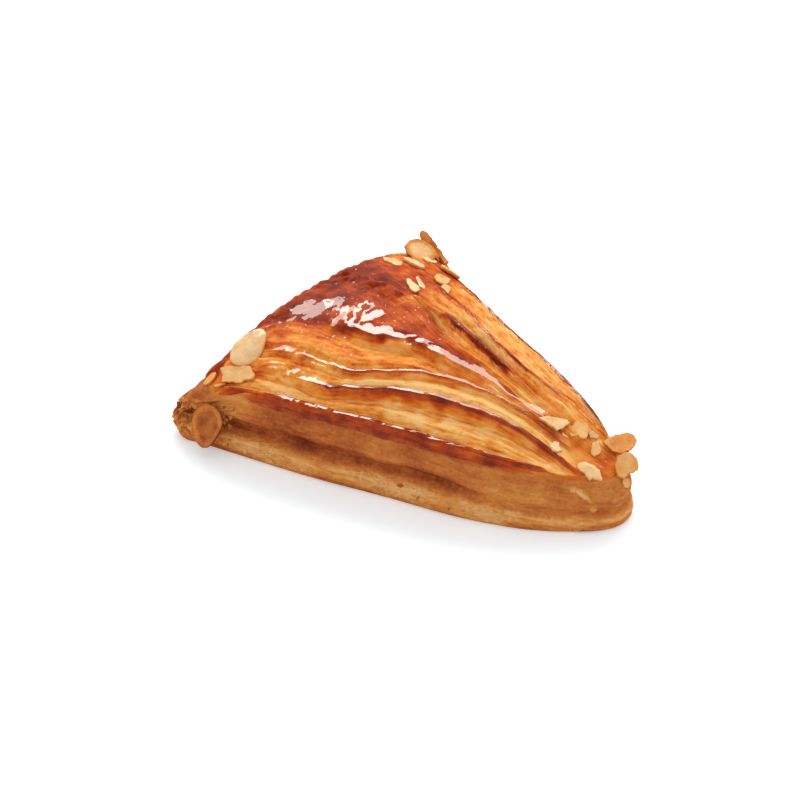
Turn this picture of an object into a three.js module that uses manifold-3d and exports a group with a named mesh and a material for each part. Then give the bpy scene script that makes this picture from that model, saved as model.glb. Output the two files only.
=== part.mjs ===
// A glazed puff pastry triangle, slashed in arcs that meet at its narrow tip, with sliced almonds on its
// three corners. Millimetres. +X runs from the broad side to the tip, +Z up, and the pastry rests on z = 0.
import * as THREE from "three";
import { mergeVertices } from "three/addons/utils/BufferGeometryUtils.js";
import Module from "manifold-3d";

const wasm = await Module();
wasm.setup();

// Driving dimensions. The rim is the edge where the glazed top turns down into the sides, and a place
// across the top runs from -1 at the front rim to 1 at the back rim.
const TIP_X = 73.5; // the rim's reach at the tip
const BASE_X = -66; // the rim's reach at the broad side
const MIDDLE = [[-66, 1.4], [-42, 2.4], [-15, 1.4], [10, 1], [30, 1], [45, 2], [73, 5]]; // [x, y]
const HALF_WIDTH = [
  [-66, 58], [-50, 53.6], [-36, 48.8], [-15, 41.7], [4, 35], [25, 28.6], [41, 23.2], [52, 19], [73, 11.5],
]; // [x, half the top's width]
const TIP_ROUND_FROM = 48; // where the sides start to turn into the tip's arc
const CORNER_ROUND = 14; // how far the broad side's corners are rounded back
const CORNER_POWER = 4;

// Heights of the rim and of the crown between them as [x, height], and how full the top is below the crown.
const FRONT_RIM = [[-66, 18], [-58, 21], [-46, 25], [-30, 26.5], [0, 27], [25, 26], [45, 23], [60, 20], [73, 18]];
const BACK_RIM = [[-66, 27.5], [-50, 31.3], [-20, 31.5], [30, 30], [50, 26], [62, 22.5], [73, 19]];
const CROWN = [[-66, 35.5], [-54, 40], [-28, 43.5], [0, 42], [25, 37.5], [45, 30.5], [60, 23.5], [73, 19]];
const FULLNESS = [[-66, 2.3], [-45, 2.2], [-20, 2.1], [73, 2.1]];
const CROWN_AT = 0.12; // where across the top the crown lies
const DOME_MIDDLE = [[-66, 0.12], [-25, 0.06], [0, -0.03], [73, 0.05]]; // [x, place] midway over the dome

// Between the slashes the glazed crust stands in crests. Each has a line [x, place across the top], a drop
// [x, how far the opened band outside it lies below it] and the width of its steep outer face.
const FRONT_CRESTS = [
  {
    line: [
      [-66, -0.78], [-37, -0.81], [-26, -0.82], [-4, -0.69],
      [11, -0.59], [28, -0.49], [43, -0.42], [66, -0.58],
    ],
    drop: [[-60, 0.6], [-30, 1.2], [-12, 2.4], [5, 3.2], [20, 3.4], [45, 2.6], [60, 0.5], [70, 0]],
    face: 2.4,
  },
  {
    line: [
      [-66, -0.66], [-40, -0.65], [-19, -0.66], [-10, -0.58],
      [4, -0.43], [20, -0.29], [40, -0.16], [66, -0.22],
    ],
    drop: [[-60, 0.6], [-30, 1.3], [-8, 1.5], [30, 1.6], [48, 1.2], [60, 0.2], [66, 0]],
    face: 1.6,
  },
  {
    line: [
      [-66, -0.34], [-28, -0.3], [-13, -0.2], [-3, -0.12],
      [10, -0.14], [20, -0.09], [43, -0.03], [66, -0.02],
    ],
    drop: [[-42, 0], [-30, 2.2], [-6, 3.2], [14, 2.4], [35, 1.4], [50, 0.6], [60, 0]],
    face: 4,
  },
];
const BACK_CRESTS = [
  {
    line: [[-66, 0.3], [-17, 0.21], [-3, 0.09], [17, 0.05], [66, 0.09]],
    drop: [[-26, 0], [-16, 2.2], [-2, 3], [15, 1.8], [28, 0.6], [45, 0]],
    face: 2.2,
  },
  {
    line: [
      [-66, 0.5], [-30, 0.3], [-18, 0.28], [-8, 0.34],
      [3, 0.31], [18, 0.26], [32, 0.22], [66, 0.2],
    ],
    drop: [[-28, 0], [-18, 1.8], [5, 2.8], [35, 2.2], [52, 1.2], [62, 0]],
    face: 2.6,
  },
  {
    line: [
      [-66, 0.7], [-25, 0.63], [-8, 0.62], [2, 0.54], [17, 0.49],
      [27, 0.47], [39, 0.55], [48, 0.68], [66, 0.78],
    ],
    drop: [[-34, 0], [-22, 1.6], [5, 2.4], [35, 2.2], [55, 1.4], [66, 0]],
    face: 2.2,
  },
];
const LIP = 0.5; // how far a crest's bead of crust stands up
const BAND_SWELL = 0.9; // how far an opened band bulges
const LEAST_GAP = 0.035; // the least distance across between two neighbouring lines

// The sides' profile from the rim down to the foot: [share of the height down, how far outside the rim].
const LONG_SIDE = [[0, 0], [0.07, 0.8], [0.2, 1.5], [0.42, 4.2], [0.58, 3], [0.78, 5.9], [0.93, 6], [1, 5]];
const BROAD_SIDE = [[0, 0], [0.06, 2], [0.2, 4.4], [0.4, 6.2], [0.52, 5.4], [0.7, 7.4], [0.86, 7], [1, 6.6]];
const OPEN_CORNER_REACH = [-20, -3]; // how much further out, [x, y], the layers stand open at the front corner
const OPEN_CORNER_SPREAD = 13;
const OPEN_CORNER_SIDE = [[0, 0], [0.3, 0.55], [0.55, 1], [0.75, 0.95], [1, 0.7]]; // [down, share of the reach]

const BLISTER = 0.45; // how far the crust rises and sinks between blisters
const LAYER_RELIEF = 0.7; // how far single layers stand out at the open corner

// Sliced almonds. Each has its middle, the way it faces, the direction of its length, and [length, width].
// dish is how far its edge curls up, and corners is the number of straight edges it is broken to.
const SLICE_THICKNESS = 1.3;
const POINTEDNESS = 0.2; // how much narrower a whole slice is at its far end
const GAP = 0.36; // between a slice and what it lies on
const LOOSE_SLICES = {
  almond_front_1: {
    at: [-59.6, -36.2, 32.8], facing: [-0.12, -0.52, 0.85],
    along: [0.03, 0.83, 0.55], size: [16.6, 12.6],
  },
  almond_front_2: {
    at: [-55.3, -46, 27.5], facing: [-0.1, -0.5, 0.86],
    along: [0.89, 0.3, 0.3], size: [15, 8.6], corners: 4,
  },
  almond_front_3: {
    at: [-57.4, -59.6, 11], facing: [0.1, -0.85, 0.5],
    along: [0.2, -0.5, -0.85], size: [15.4, 12.6], dish: 1,
  },
  almond_back_1: {
    at: [-55, 53.1, 34.6], facing: [0.2, -0.3, 0.93],
    along: [0.7, 0.7, 0.13], size: [12, 11.4], corners: 7,
  },
  almond_back_2: {
    at: [-55.3, 58.6, 33.9], facing: [0.5, -0.45, 0.74],
    along: [-0.6, 0.1, 0.8], size: [13, 6],
  },
  almond_back_3: {
    at: [-50.6, 58.2, 31.4], facing: [0.5, 0.2, 0.75],
    along: [-0.6, 0, 0.8], size: [11, 6.5], corners: 5,
  },
  almond_back_4: {
    at: [-46.6, 57.9, 28.6], facing: [0.6, 0.7, 0.5],
    along: [-0.5, 0.1, 0.8], size: [9, 6.4],
  },
  almond_back_5: {
    at: [-47.1, 40.6, 37.7], facing: [0, 0.3, 0.95],
    along: [1, -0.08, 0.01], size: [10.6, 3.6], corners: 4,
  },
  almond_back_6: {
    at: [-38.4, 50.2, 33.2], facing: [0.1, 0.55, 0.83],
    along: [0.94, -0.25, -0.1], size: [10.2, 5],
  },
  almond_tip_1: {
    at: [49.4, 2.6, 29.5], facing: [0.38, -0.05, 0.92],
    along: [0.49, 0.86, -0.09], size: [11.4, 5], corners: 5,
  },
  almond_tip_2: {
    at: [55.4, 9.1, 26.3], facing: [0.3, -0.1, 0.94],
    along: [0.1, 0.98, 0.18], size: [8.4, 6.2],
  },
  almond_tip_3: {
    at: [68.1, -1.5, 20.9], facing: [0.3, -0.14, 0.94],
    along: [0.91, 0.29, -0.31], size: [10, 5.4], corners: 4,
  },
  almond_tip_4: {
    at: [67.8, 15.4, 21.6], facing: [0.35, 0.05, 0.93],
    along: [0.3, 0.95, -0.12], size: [14, 8], dish: 0.6,
  },
  almond_tip_5: {
    at: [74.6, 9.6, 19.2], facing: [0.7, -0.1, 0.7],
    along: [-0.27, 0.85, 0.44], size: [10.4, 9.6], corners: 7,
  },
};
// Chips too small to lie loose are baked onto the crust. heading is the direction of their length in degrees.
const CHIP_LIFT = 0.25; // from the crust to a chip's middle
const BAKED_CHIPS = [
  { at: [-58.6, -51.5], heading: 10, size: [5.6, 3.2] },
  { at: [-66, -49], heading: 93, size: [6.4, 4.8] },
  { at: [-60, 47.5], heading: -10, size: [6, 3] },
  { at: [-55, 37.5], heading: -6, size: [7.6, 4] },
  { at: [-48.5, 51], heading: 58, size: [5.4, 3.6] },
  { at: [-35.2, 41.4], heading: 18, size: [7, 5.4], corners: 5 },
  { at: [-27.2, 35.5], heading: -49, size: [3.6, 2.4] },
  { at: [-31.6, 22.2], heading: -42, size: [7.6, 3] },
  { at: [-32.6, 27], heading: -35, size: [6, 1.9] },
  { at: [58.6, 12.2], heading: 39, size: [4, 3] },
  { at: [55, -4.2], heading: 63, size: [5.4, 4.2], corners: 5 },
  { at: [63.4, 8], heading: 122, size: [6.4, 3.4] },
  { at: [75.2, 9.4], heading: 100, size: [4.4, 3.4] },
];

// How finely the surface is divided: rows from tip to broad side, and columns from line to line across.
const ROWS = 43;
const OUTER_BAND_COLUMNS = 6;
const FACE_COLUMNS = 2;
const BAND_COLUMNS = 3;
const CROWN_COLUMNS = 4;
const SIDE_RINGS = 11;
const SLICE_SIDES = 14;
const CHIP_SIDES = 9;

const PASTRY_COLOUR = 0xc9793a;
const ALMOND_COLOUR = 0xe0ab6c;

// A smooth curve through [x, y] knots that never overshoots them.
function curveThrough(knots) {
  const last = knots.length - 1;
  const slopes = knots.slice(1).map(([x, y], i) => (y - knots[i][1]) / (x - knots[i][0]));
  const tangents = knots.map((_, i) => {
    if (i === 0) return slopes[0];
    if (i === last) return slopes[last - 1];
    const product = slopes[i - 1] * slopes[i];
    return product <= 0 ? 0 : (2 * product) / (slopes[i - 1] + slopes[i]);
  });
  return (x) => {
    if (x <= knots[0][0]) return knots[0][1];
    if (x >= knots[last][0]) return knots[last][1];
    const i = knots.findIndex(([next]) => next > x) - 1;
    const width = knots[i + 1][0] - knots[i][0];
    const t = (x - knots[i][0]) / width;
    const rise = t * t * (3 - 2 * t);
    const start = t * (1 - t) * (1 - t) * width;
    const end = -t * t * (1 - t) * width;
    return knots[i][1] * (1 - rise) + knots[i + 1][1] * rise + tangents[i] * start + tangents[i + 1] * end;
  };
}

function smooth(t) {
  const s = Math.min(1, Math.max(0, t));
  return s * s * (3 - 2 * s);
}

const middle = curveThrough(MIDDLE);
const frontRim = curveThrough(FRONT_RIM);
const backRim = curveThrough(BACK_RIM);
const crown = curveThrough(CROWN);
const fullness = curveThrough(FULLNESS);
const openCornerReach = curveThrough(OPEN_CORNER_SIDE);
const longSide = curveThrough(LONG_SIDE);
const broadSide = curveThrough(BROAD_SIDE);
const domeMiddle = curveThrough(DOME_MIDDLE);
const halfWidth = curveThrough(HALF_WIDTH);

// The smooth top that the crests reach up to.
function envelope(x, across) {
  const edge = across < CROWN_AT ? frontRim(x) : backRim(x);
  const reach = across < CROWN_AT ? CROWN_AT + 1 : 1 - CROWN_AT;
  const away = Math.abs(across - CROWN_AT) / reach;
  return crown(x) - (crown(x) - edge) * away ** fullness(x);
}

// A crest's two lines: its bead, and the foot of its steep face towards the rim on its side (-1 or 1).
function crestLines(crest, side) {
  const line = curveThrough(crest.line);
  const drop = curveThrough(crest.drop);
  return {
    bead: { at: line, depth: (x) => -LIP * smooth(drop(x)) },
    foot: { at: (x) => line(x) + (side * crest.face) / halfWidth(x), depth: drop },
  };
}

// Every line from the front rim to the back rim, with the number of columns that lead up to it.
function topLines() {
  const flat = () => 0;
  const lines = [{ at: () => -1, depth: flat, columns: 0 }];
  FRONT_CRESTS.forEach((crest, i) => {
    const { bead, foot } = crestLines(crest, -1);
    lines.push({ ...foot, columns: i === 0 ? OUTER_BAND_COLUMNS : BAND_COLUMNS, swell: BAND_SWELL });
    lines.push({ ...bead, columns: FACE_COLUMNS });
  });
  lines.push({ at: domeMiddle, depth: flat, columns: CROWN_COLUMNS });
  BACK_CRESTS.forEach((crest, i) => {
    const { bead, foot } = crestLines(crest, 1);
    lines.push({ ...bead, columns: i === 0 ? CROWN_COLUMNS : BAND_COLUMNS, swell: i === 0 ? 0 : BAND_SWELL });
    lines.push({ ...foot, columns: FACE_COLUMNS });
  });
  lines.push({ at: () => 1, depth: flat, columns: OUTER_BAND_COLUMNS, swell: BAND_SWELL });
  return lines;
}

// The lines' places across at x, pushed apart where two would meet or pass each other.
function spacedPlaces(lines, x) {
  const places = lines.map((line) => line.at(x));
  const dome = lines.findIndex((line) => line.at === domeMiddle);
  for (let i = dome - 1; i >= 0; i--) places[i] = Math.min(places[i], places[i + 1] - LEAST_GAP);
  for (let i = dome + 1; i < lines.length; i++) places[i] = Math.max(places[i], places[i - 1] + LEAST_GAP);
  return places;
}

const lines = topLines();

// Uneven rises and hollows between -1 and 1, which die out at the rim's height.
function blisters(x, y) {
  const broad = Math.sin(0.31 * x + 0.22 * y + 1.2) * Math.sin(0.27 * y - 0.14 * x + 2.1);
  const narrow = Math.sin(0.52 * x - 0.36 * y + 0.4) * Math.sin(0.47 * y + 0.29 * x + 0.9);
  return 0.55 * broad + 0.45 * narrow;
}

// One point for each column across the top at x: its place across and its depth below the smooth top.
function columnsAt(x) {
  const places = spacedPlaces(lines, x);
  const columns = [{ across: places[0], depth: 0 }];
  for (let i = 1; i < lines.length; i++) {
    const before = lines[i - 1].depth(x);
    const after = lines[i].depth(x);
    const opened = smooth(Math.max(before, after));
    for (let step = 1; step <= lines[i].columns; step++) {
      let t = step / lines[i].columns;
      if (i === 1) t **= 1.5;
      if (i === lines.length - 1) t = 1 - (1 - t) ** 1.5;
      const across = places[i - 1] + (places[i] - places[i - 1]) * t;
      const swell = (lines[i].swell ?? 0) * opened * Math.sin(Math.PI * t);
      columns.push({ across, depth: before + (after - before) * smooth(t) - swell });
    }
  }
  return columns;
}

// The rim's reach towards the tip and towards the broad side, at a place across.
function tipReach(across) {
  return TIP_ROUND_FROM + (TIP_X - TIP_ROUND_FROM) * Math.sqrt(Math.max(0, 1 - across ** 2));
}

function baseReach(across) {
  const fullWidth = (1 - Math.min(1, Math.abs(across)) ** CORNER_POWER) ** (1 / CORNER_POWER);
  return BASE_X + CORNER_ROUND * (1 - fullWidth);
}

// Row i and column j of the top. The column's line and the row's x depend on each other, so they are
// settled in turn.
function topPoint(i, j) {
  let x = TIP_X + ((BASE_X - TIP_X) * i) / ROWS;
  let column;
  for (let turn = 0; turn < 6; turn++) {
    column = columnsAt(x)[j];
    const tip = tipReach(column.across);
    x = (x + tip + ((baseReach(column.across) - tip) * i) / ROWS) / 2;
  }
  const { across, depth } = column;
  const y = middle(x) + across * halfWidth(x);
  return new THREE.Vector3(x, y, envelope(x, across) - depth + BLISTER * blisters(x, y));
}

// The rim as a loop of [row, column] places: tip, back side, broad side, front side.
function rimLoop(columns) {
  const loop = [];
  for (let j = 0; j < columns; j++) loop.push([0, j]);
  for (let i = 0; i < ROWS; i++) loop.push([i, columns]);
  for (let j = columns; j > 0; j--) loop.push([ROWS, j]);
  for (let i = ROWS; i > 0; i--) loop.push([i, 0]);
  return loop;
}

// How far a side bulges at place k along it, as [-1, 1]: slow waves, and single layers at the open corner.
function wallRelief(k, down, nearCorner) {
  const waves = 0.6 * Math.sin(k * 0.31 + 5 * down) + 0.4 * Math.sin(k * 0.57 - 4 * down + 1);
  const layers = Math.cos(down * SIDE_RINGS * Math.PI);
  return (waves * (1 - nearCorner) + layers * nearCorner) * Math.sin(Math.PI * down);
}

function pastryGeometry() {
  const points = [];
  const faces = [];
  const quad = (a, b, c, d) => faces.push(a, b, c, a, c, d);
  const columns = columnsAt(0).length - 1;
  const place = (i, j) => i * (columns + 1) + j;
  for (let i = 0; i <= ROWS; i++) {
    for (let j = 0; j <= columns; j++) points.push(topPoint(i, j));
  }
  for (let i = 0; i < ROWS; i++) {
    for (let j = 0; j < columns; j++) {
      quad(place(i, j), place(i, j + 1), place(i + 1, j + 1), place(i + 1, j));
    }
  }

  const loop = rimLoop(columns);
  const rim = loop.map(([i, j]) => points[place(i, j)]);
  const corner = points[place(ROWS, 0)];
  const outwards = rim.map((_, k) => {
    const before = rim[(k + rim.length - 2) % rim.length];
    const after = rim[(k + 2) % rim.length];
    return new THREE.Vector3(after.y - before.y, before.x - after.x, 0).normalize();
  });
  let above = loop.map(([i, j]) => place(i, j));
  for (let ring = 1; ring <= SIDE_RINGS; ring++) {
    const down = ring / SIDE_RINGS;
    const below = rim.map((top, k) => {
      const broad = smooth((-outwards[k].x - 0.45) / 0.4);
      const out = longSide(down) * (1 - broad) + broadSide(down) * broad;
      const nearCorner = Math.exp(-((top.distanceTo(corner) / OPEN_CORNER_SPREAD) ** 2));
      const point = top.clone().addScaledVector(outwards[k], out);
      const opened = nearCorner * openCornerReach(down);
      point.addScaledVector(outwards[k], LAYER_RELIEF * wallRelief(k, down, nearCorner));
      point.x += OPEN_CORNER_REACH[0] * opened;
      point.y += OPEN_CORNER_REACH[1] * opened;
      points.push(point.setZ(top.z * (1 - down)));
      return points.length - 1;
    });
    below.forEach((_, k) => {
      const next = (k + 1) % below.length;
      quad(above[k], below[k], below[next], above[next]);
    });
    above = below;
  }
  points.push(new THREE.Vector3(0, MIDDLE[0][1], 0));
  const centre = points.length - 1;
  above.forEach((foot, k) => faces.push(centre, above[(k + 1) % above.length], foot));

  const geometry = new THREE.BufferGeometry();
  geometry.setAttribute("position", new THREE.Float32BufferAttribute(points.flatMap((p) => p.toArray()), 3));
  geometry.setIndex(faces);
  return geometry;
}

const shell = pastryGeometry();

// A baked chip lies in the crust under its place, and faces the way the crust does there.
function seated({ at: [x, y], heading, ...chip }) {
  const down = new THREE.Raycaster(new THREE.Vector3(x, y, 100), new THREE.Vector3(0, 0, -1));
  const [hit] = down.intersectObject(new THREE.Mesh(shell));
  const turn = THREE.MathUtils.degToRad(heading);
  return {
    ...chip,
    at: hit.point.addScaledVector(hit.face.normal, CHIP_LIFT).toArray(),
    facing: hit.face.normal.toArray(),
    along: [Math.cos(turn), Math.sin(turn), 0],
  };
}

// The pastry's shell moved outwards along its normals.
function grown(geometry, margin) {
  const result = geometry.clone();
  result.computeVertexNormals();
  const at = result.getAttribute("position");
  const normal = result.getAttribute("normal");
  for (let i = 0; i < at.count; i++) {
    at.setX(i, at.getX(i) + normal.getX(i) * margin);
    at.setY(i, at.getY(i) + normal.getY(i) * margin);
    at.setZ(i, at.getZ(i) + normal.getZ(i) * margin);
  }
  return result;
}

// How far out the edge of a slice broken to straight edges lies, as a share of the unbroken oval's radius.
function brokenOutline(angle, corners) {
  const spread = (2 * Math.PI) / corners;
  const withinEdge = ((angle + spread / 2) % spread) - spread / 2;
  const nick = 0.06 * Math.sin(5 * angle + spread / 2);
  return Math.min(1.12, (1.14 * Math.cos(spread / 2)) / Math.cos(withinEdge)) + nick;
}

// A thin slice with a rounded edge, whole or broken. A whole one is an oval drawn to a point at one end.
function sliceGeometry({ at, facing, along, size, dish = 0.3, corners = 0 }, sides, margin) {
  const rings = [[0.5, 0.5], [0.88, 0.5], [1, 0.28]]; // [share of the radius, share of the thickness]
  const points = [];
  const faces = [];
  const thickness = SLICE_THICKNESS + 2 * margin;
  const ringPoint = (share, height, k) => {
    const angle = (2 * Math.PI * k) / sides;
    const broken = corners > 0 ? brokenOutline(angle, corners) : 1;
    const pointed = corners > 0 ? 1 : 1 - POINTEDNESS * Math.cos(angle);
    const u = (size[0] / 2 + margin) * Math.cos(angle) * share * broken;
    const v = (size[1] / 2 + margin) * Math.sin(angle) * share * broken * pointed;
    return [u, v, height * thickness + dish * share * share];
  };
  for (const face of [1, -1]) {
    const first = points.length;
    points.push([0, 0, (face * thickness) / 2]);
    rings.forEach(([share, height]) => {
      for (let k = 0; k < sides; k++) points.push(ringPoint(share, face * height, k));
    });
    const turn = (a, b, c) => (face > 0 ? faces.push(a, b, c) : faces.push(a, c, b));
    for (let k = 0; k < sides; k++) {
      const next = (k + 1) % sides;
      turn(first, first + 1 + k, first + 1 + next);
      for (let ring = 1; ring < rings.length; ring++) {
        const inner = first + 1 + (ring - 1) * sides;
        const outer = inner + sides;
        turn(inner + k, outer + k, outer + next);
        turn(inner + k, outer + next, inner + next);
      }
    }
  }
  const upper = 1 + (rings.length - 1) * sides;
  const lower = upper + 1 + rings.length * sides;
  for (let k = 0; k < sides; k++) {
    const next = (k + 1) % sides;
    faces.push(upper + k, lower + k, lower + next, upper + k, lower + next, upper + next);
  }
  const geometry = new THREE.BufferGeometry();
  geometry.setAttribute("position", new THREE.Float32BufferAttribute(points.flat(), 3));
  geometry.setIndex(faces);
  const up = new THREE.Vector3(...facing).normalize();
  const side = new THREE.Vector3().crossVectors(up, new THREE.Vector3(...along)).normalize();
  const length = new THREE.Vector3().crossVectors(side, up);
  return geometry.applyMatrix4(new THREE.Matrix4().makeBasis(length, side, up).setPosition(...at));
}

function toSolid(geometry) {
  const merged = mergeVertices(geometry.deleteAttribute("normal").deleteAttribute("uv"), 1e-4);
  const vertProperties = Float32Array.from(merged.getAttribute("position").array);
  const triVerts = Uint32Array.from(merged.index.array);
  return new wasm.Manifold(new wasm.Mesh({ numProp: 3, vertProperties, triVerts }));
}

function toMesh(name, solid, material) {
  const { vertProperties, triVerts } = solid.getMesh();
  const geometry = new THREE.BufferGeometry();
  geometry.setAttribute("position", new THREE.Float32BufferAttribute(vertProperties, 3));
  geometry.setIndex(Array.from(triVerts));
  geometry.computeVertexNormals();
  const mesh = new THREE.Mesh(geometry, material);
  mesh.name = name;
  return mesh;
}

function foodMaterial(color, roughness) {
  return new THREE.MeshStandardMaterial({ color, roughness, metalness: 0 });
}

const group = new THREE.Group();
const chips = BAKED_CHIPS.map(seated);
const baked = chips.map((chip) => toSolid(sliceGeometry(chip, CHIP_SIDES, 0)));
const pastry = baked.reduce((whole, chip) => whole.add(chip), toSolid(shell.clone()));
group.add(toMesh("pastry", pastry, foodMaterial(PASTRY_COLOUR, 0.35)));

// Each slice is cut back where it would come nearer than the gap to the pastry, a chip or an earlier slice.
const keepClear = chips.map((chip) => toSolid(sliceGeometry(chip, CHIP_SIDES, GAP)));
keepClear.push(toSolid(grown(shell, GAP)));
for (const [name, slice] of Object.entries(LOOSE_SLICES)) {
  const whole = toSolid(sliceGeometry(slice, SLICE_SIDES, 0));
  const clear = keepClear.reduce((rest, neighbour) => rest.subtract(neighbour), whole);
  group.add(toMesh(name, clear, foodMaterial(ALMOND_COLOUR, 0.55)));
  keepClear.push(toSolid(sliceGeometry(slice, SLICE_SIDES, GAP)));
}

export default group;
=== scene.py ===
import math

import bpy
import numpy as np
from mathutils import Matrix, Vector
from mathutils.bvhtree import BVHTree


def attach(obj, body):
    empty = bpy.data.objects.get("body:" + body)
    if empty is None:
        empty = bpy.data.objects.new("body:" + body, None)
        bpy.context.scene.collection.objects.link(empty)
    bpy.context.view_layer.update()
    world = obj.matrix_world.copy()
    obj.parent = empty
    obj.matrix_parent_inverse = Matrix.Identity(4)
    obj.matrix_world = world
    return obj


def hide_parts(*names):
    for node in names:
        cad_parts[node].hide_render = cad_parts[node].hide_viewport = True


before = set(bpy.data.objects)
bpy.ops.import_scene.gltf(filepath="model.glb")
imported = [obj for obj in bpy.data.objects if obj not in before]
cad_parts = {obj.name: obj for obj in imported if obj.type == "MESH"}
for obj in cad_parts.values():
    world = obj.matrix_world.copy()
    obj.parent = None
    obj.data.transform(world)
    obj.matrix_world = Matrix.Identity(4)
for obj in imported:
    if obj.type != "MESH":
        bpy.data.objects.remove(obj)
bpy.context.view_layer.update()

# The crust. One sheet of laminated dough, folded to a triangle, slashed on top, brushed with egg and baked.
# The unslashed top is a dark glazed dome, and each slash has opened to a pale band of layers. Sizes are the
# solid's own, in millimetres, and the same lines are filled with finer folds, blisters and layers.
TIP_X = 73.5
BASE_X = -66
MIDDLE = [[-66, 1.4], [-42, 2.4], [-15, 1.4], [10, 1], [30, 1], [45, 2], [73, 5]]
HALF_WIDTH = [
    [-66, 58], [-50, 53.6], [-36, 48.8], [-15, 41.7], [4, 35], [25, 28.6], [41, 23.2], [52, 19], [73, 11.5],
]
TIP_ROUND_FROM = 48
CORNER_ROUND = 14
CORNER_POWER = 4
FRONT_RIM = [[-66, 18], [-58, 21], [-46, 25], [-30, 26.5], [0, 27], [25, 26], [45, 23], [60, 20], [73, 18]]
BACK_RIM = [[-66, 27.5], [-50, 31.3], [-20, 31.5], [30, 30], [50, 26], [62, 22.5], [73, 19]]
CROWN = [[-66, 35.5], [-54, 40], [-28, 43.5], [0, 42], [25, 37.5], [45, 30.5], [60, 23.5], [73, 19]]
FULLNESS = [[-66, 2.3], [-45, 2.2], [-20, 2.1], [73, 2.1]]
CROWN_AT = 0.12
DOME_MIDDLE = [[-66, 0.12], [-25, 0.06], [0, -0.03], [73, 0.05]]
# A crest is a line of [x, share of the half width], its drop to the band outside it as [x, millimetres], the
# width of its steep face, and how far its roll reaches past the line.
FRONT_CRESTS = [
    {
        "line": [[-66, -0.78], [-37, -0.81], [-26, -0.82], [-4, -0.69],
                 [11, -0.59], [28, -0.49], [43, -0.42], [66, -0.58]],
        "drop": [[-60, 0.6], [-30, 1.2], [-12, 2.4], [5, 3.2], [20, 3.4], [45, 2.6], [60, 0.5], [70, 0]],
        "face": 2.4, "roll": 1.2,
    },
    {
        "line": [[-66, -0.66], [-40, -0.65], [-19, -0.66], [-10, -0.58],
                 [4, -0.43], [20, -0.29], [40, -0.16], [66, -0.22]],
        "drop": [[-60, 0.6], [-30, 1.3], [-8, 1.5], [30, 1.6], [48, 1.2], [60, 0.2], [66, 0]],
        "face": 1.6, "roll": 0.4,
    },
    {
        "line": [[-66, -0.34], [-28, -0.3], [-13, -0.2], [-3, -0.12],
                 [10, -0.14], [20, -0.09], [43, -0.03], [66, -0.02]],
        "drop": [[-42, 0], [-30, 2.2], [-6, 3.2], [14, 2.4], [35, 1.4], [50, 0.6], [60, 0]],
        "face": 4,
    },
]
BACK_CRESTS = [
    {
        "line": [[-66, 0.3], [-17, 0.21], [-3, 0.09], [17, 0.05], [66, 0.09]],
        "drop": [[-26, 0], [-16, 2.2], [-2, 3], [15, 1.8], [28, 0.6], [45, 0]],
        "face": 2.2,
    },
    {
        "line": [[-66, 0.5], [-30, 0.3], [-18, 0.28], [-8, 0.34], [3, 0.31], [18, 0.26], [32, 0.22], [66, 0.2]],
        "drop": [[-28, 0], [-18, 1.8], [5, 2.8], [35, 2.2], [52, 1.2], [62, 0]],
        "face": 2.6,
    },
    {
        "line": [[-66, 0.7], [-25, 0.63], [-8, 0.62], [2, 0.54], [17, 0.49],
                 [27, 0.47], [39, 0.55], [48, 0.68], [66, 0.78]],
        "drop": [[-34, 0], [-22, 1.6], [5, 2.4], [35, 2.2], [55, 1.4], [66, 0]],
        "face": 2.2,
    },
]
LIP = 0.5
BAND_SWELL = 0.9
LEAST_GAP = 0.035
LONG_SIDE = [[0, 0], [0.07, 0.8], [0.2, 1.5], [0.42, 4.2], [0.58, 3], [0.78, 5.9], [0.93, 6], [1, 5]]
BROAD_SIDE = [[0, 0], [0.06, 2], [0.2, 4.4], [0.4, 6.2], [0.52, 5.4], [0.7, 7.4], [0.86, 7], [1, 6.6]]
OPEN_CORNER_REACH = [-20, -3]
OPEN_CORNER_SPREAD = 13
OPEN_CORNER_SIDE = [[0, 0], [0.3, 0.55], [0.55, 1], [0.75, 0.95], [1, 0.7]]
BLISTER = 0.45

# From the front rim to the back rim the lanes are, in turn: an opened band, the steep face of a crest, and so
# on, with the dome's two halves in the middle. Each has the solid's number of columns and the finer one here.
SOLID_COLUMNS = [6, 2, 3, 2, 3, 2, 4, 4, 2, 3, 2, 3, 2, 6]
FINE_COLUMNS = [26, 8, 16, 6, 16, 8, 34, 26, 5, 12, 6, 12, 5, 24]
LANE_WIDTHS = [9.4, 2.4, 5, 1.6, 8, 4, 5, 5, 2.2, 7, 2.6, 6, 2.2, 14]
OPENED_LANES = [0, 2, 4, 9, 11, 13]
SOLID_ROWS = 43
FINE_ROWS = 240
SIDE_RINGS = 50


def smooth(t):
    s = np.clip(t, 0, 1)
    return s * s * (3 - 2 * s)


def bell(t):
    return np.exp(-t ** 2)


def curve(knots):
    """A smooth curve through [x, y] knots that never overshoots them."""
    xs, ys = np.array(knots, float).T
    step = np.diff(xs)
    slope = np.diff(ys) / step
    product = slope[:-1] * slope[1:]
    together = np.where(product > 0, slope[:-1] + slope[1:], 1)
    tangent = np.concatenate([slope[:1], np.where(product > 0, 2 * product / together, 0), slope[-1:]])

    def at(x):
        x = np.clip(x, xs[0], xs[-1])
        i = np.clip(np.searchsorted(xs, x, side="right") - 1, 0, len(step) - 1)
        t = (x - xs[i]) / step[i]
        rise = t * t * (3 - 2 * t)
        start = t * (1 - t) ** 2 * step[i]
        end = -t * t * (1 - t) * step[i]
        return ys[i] * (1 - rise) + ys[i + 1] * rise + tangent[i] * start + tangent[i + 1] * end

    return at


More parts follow.
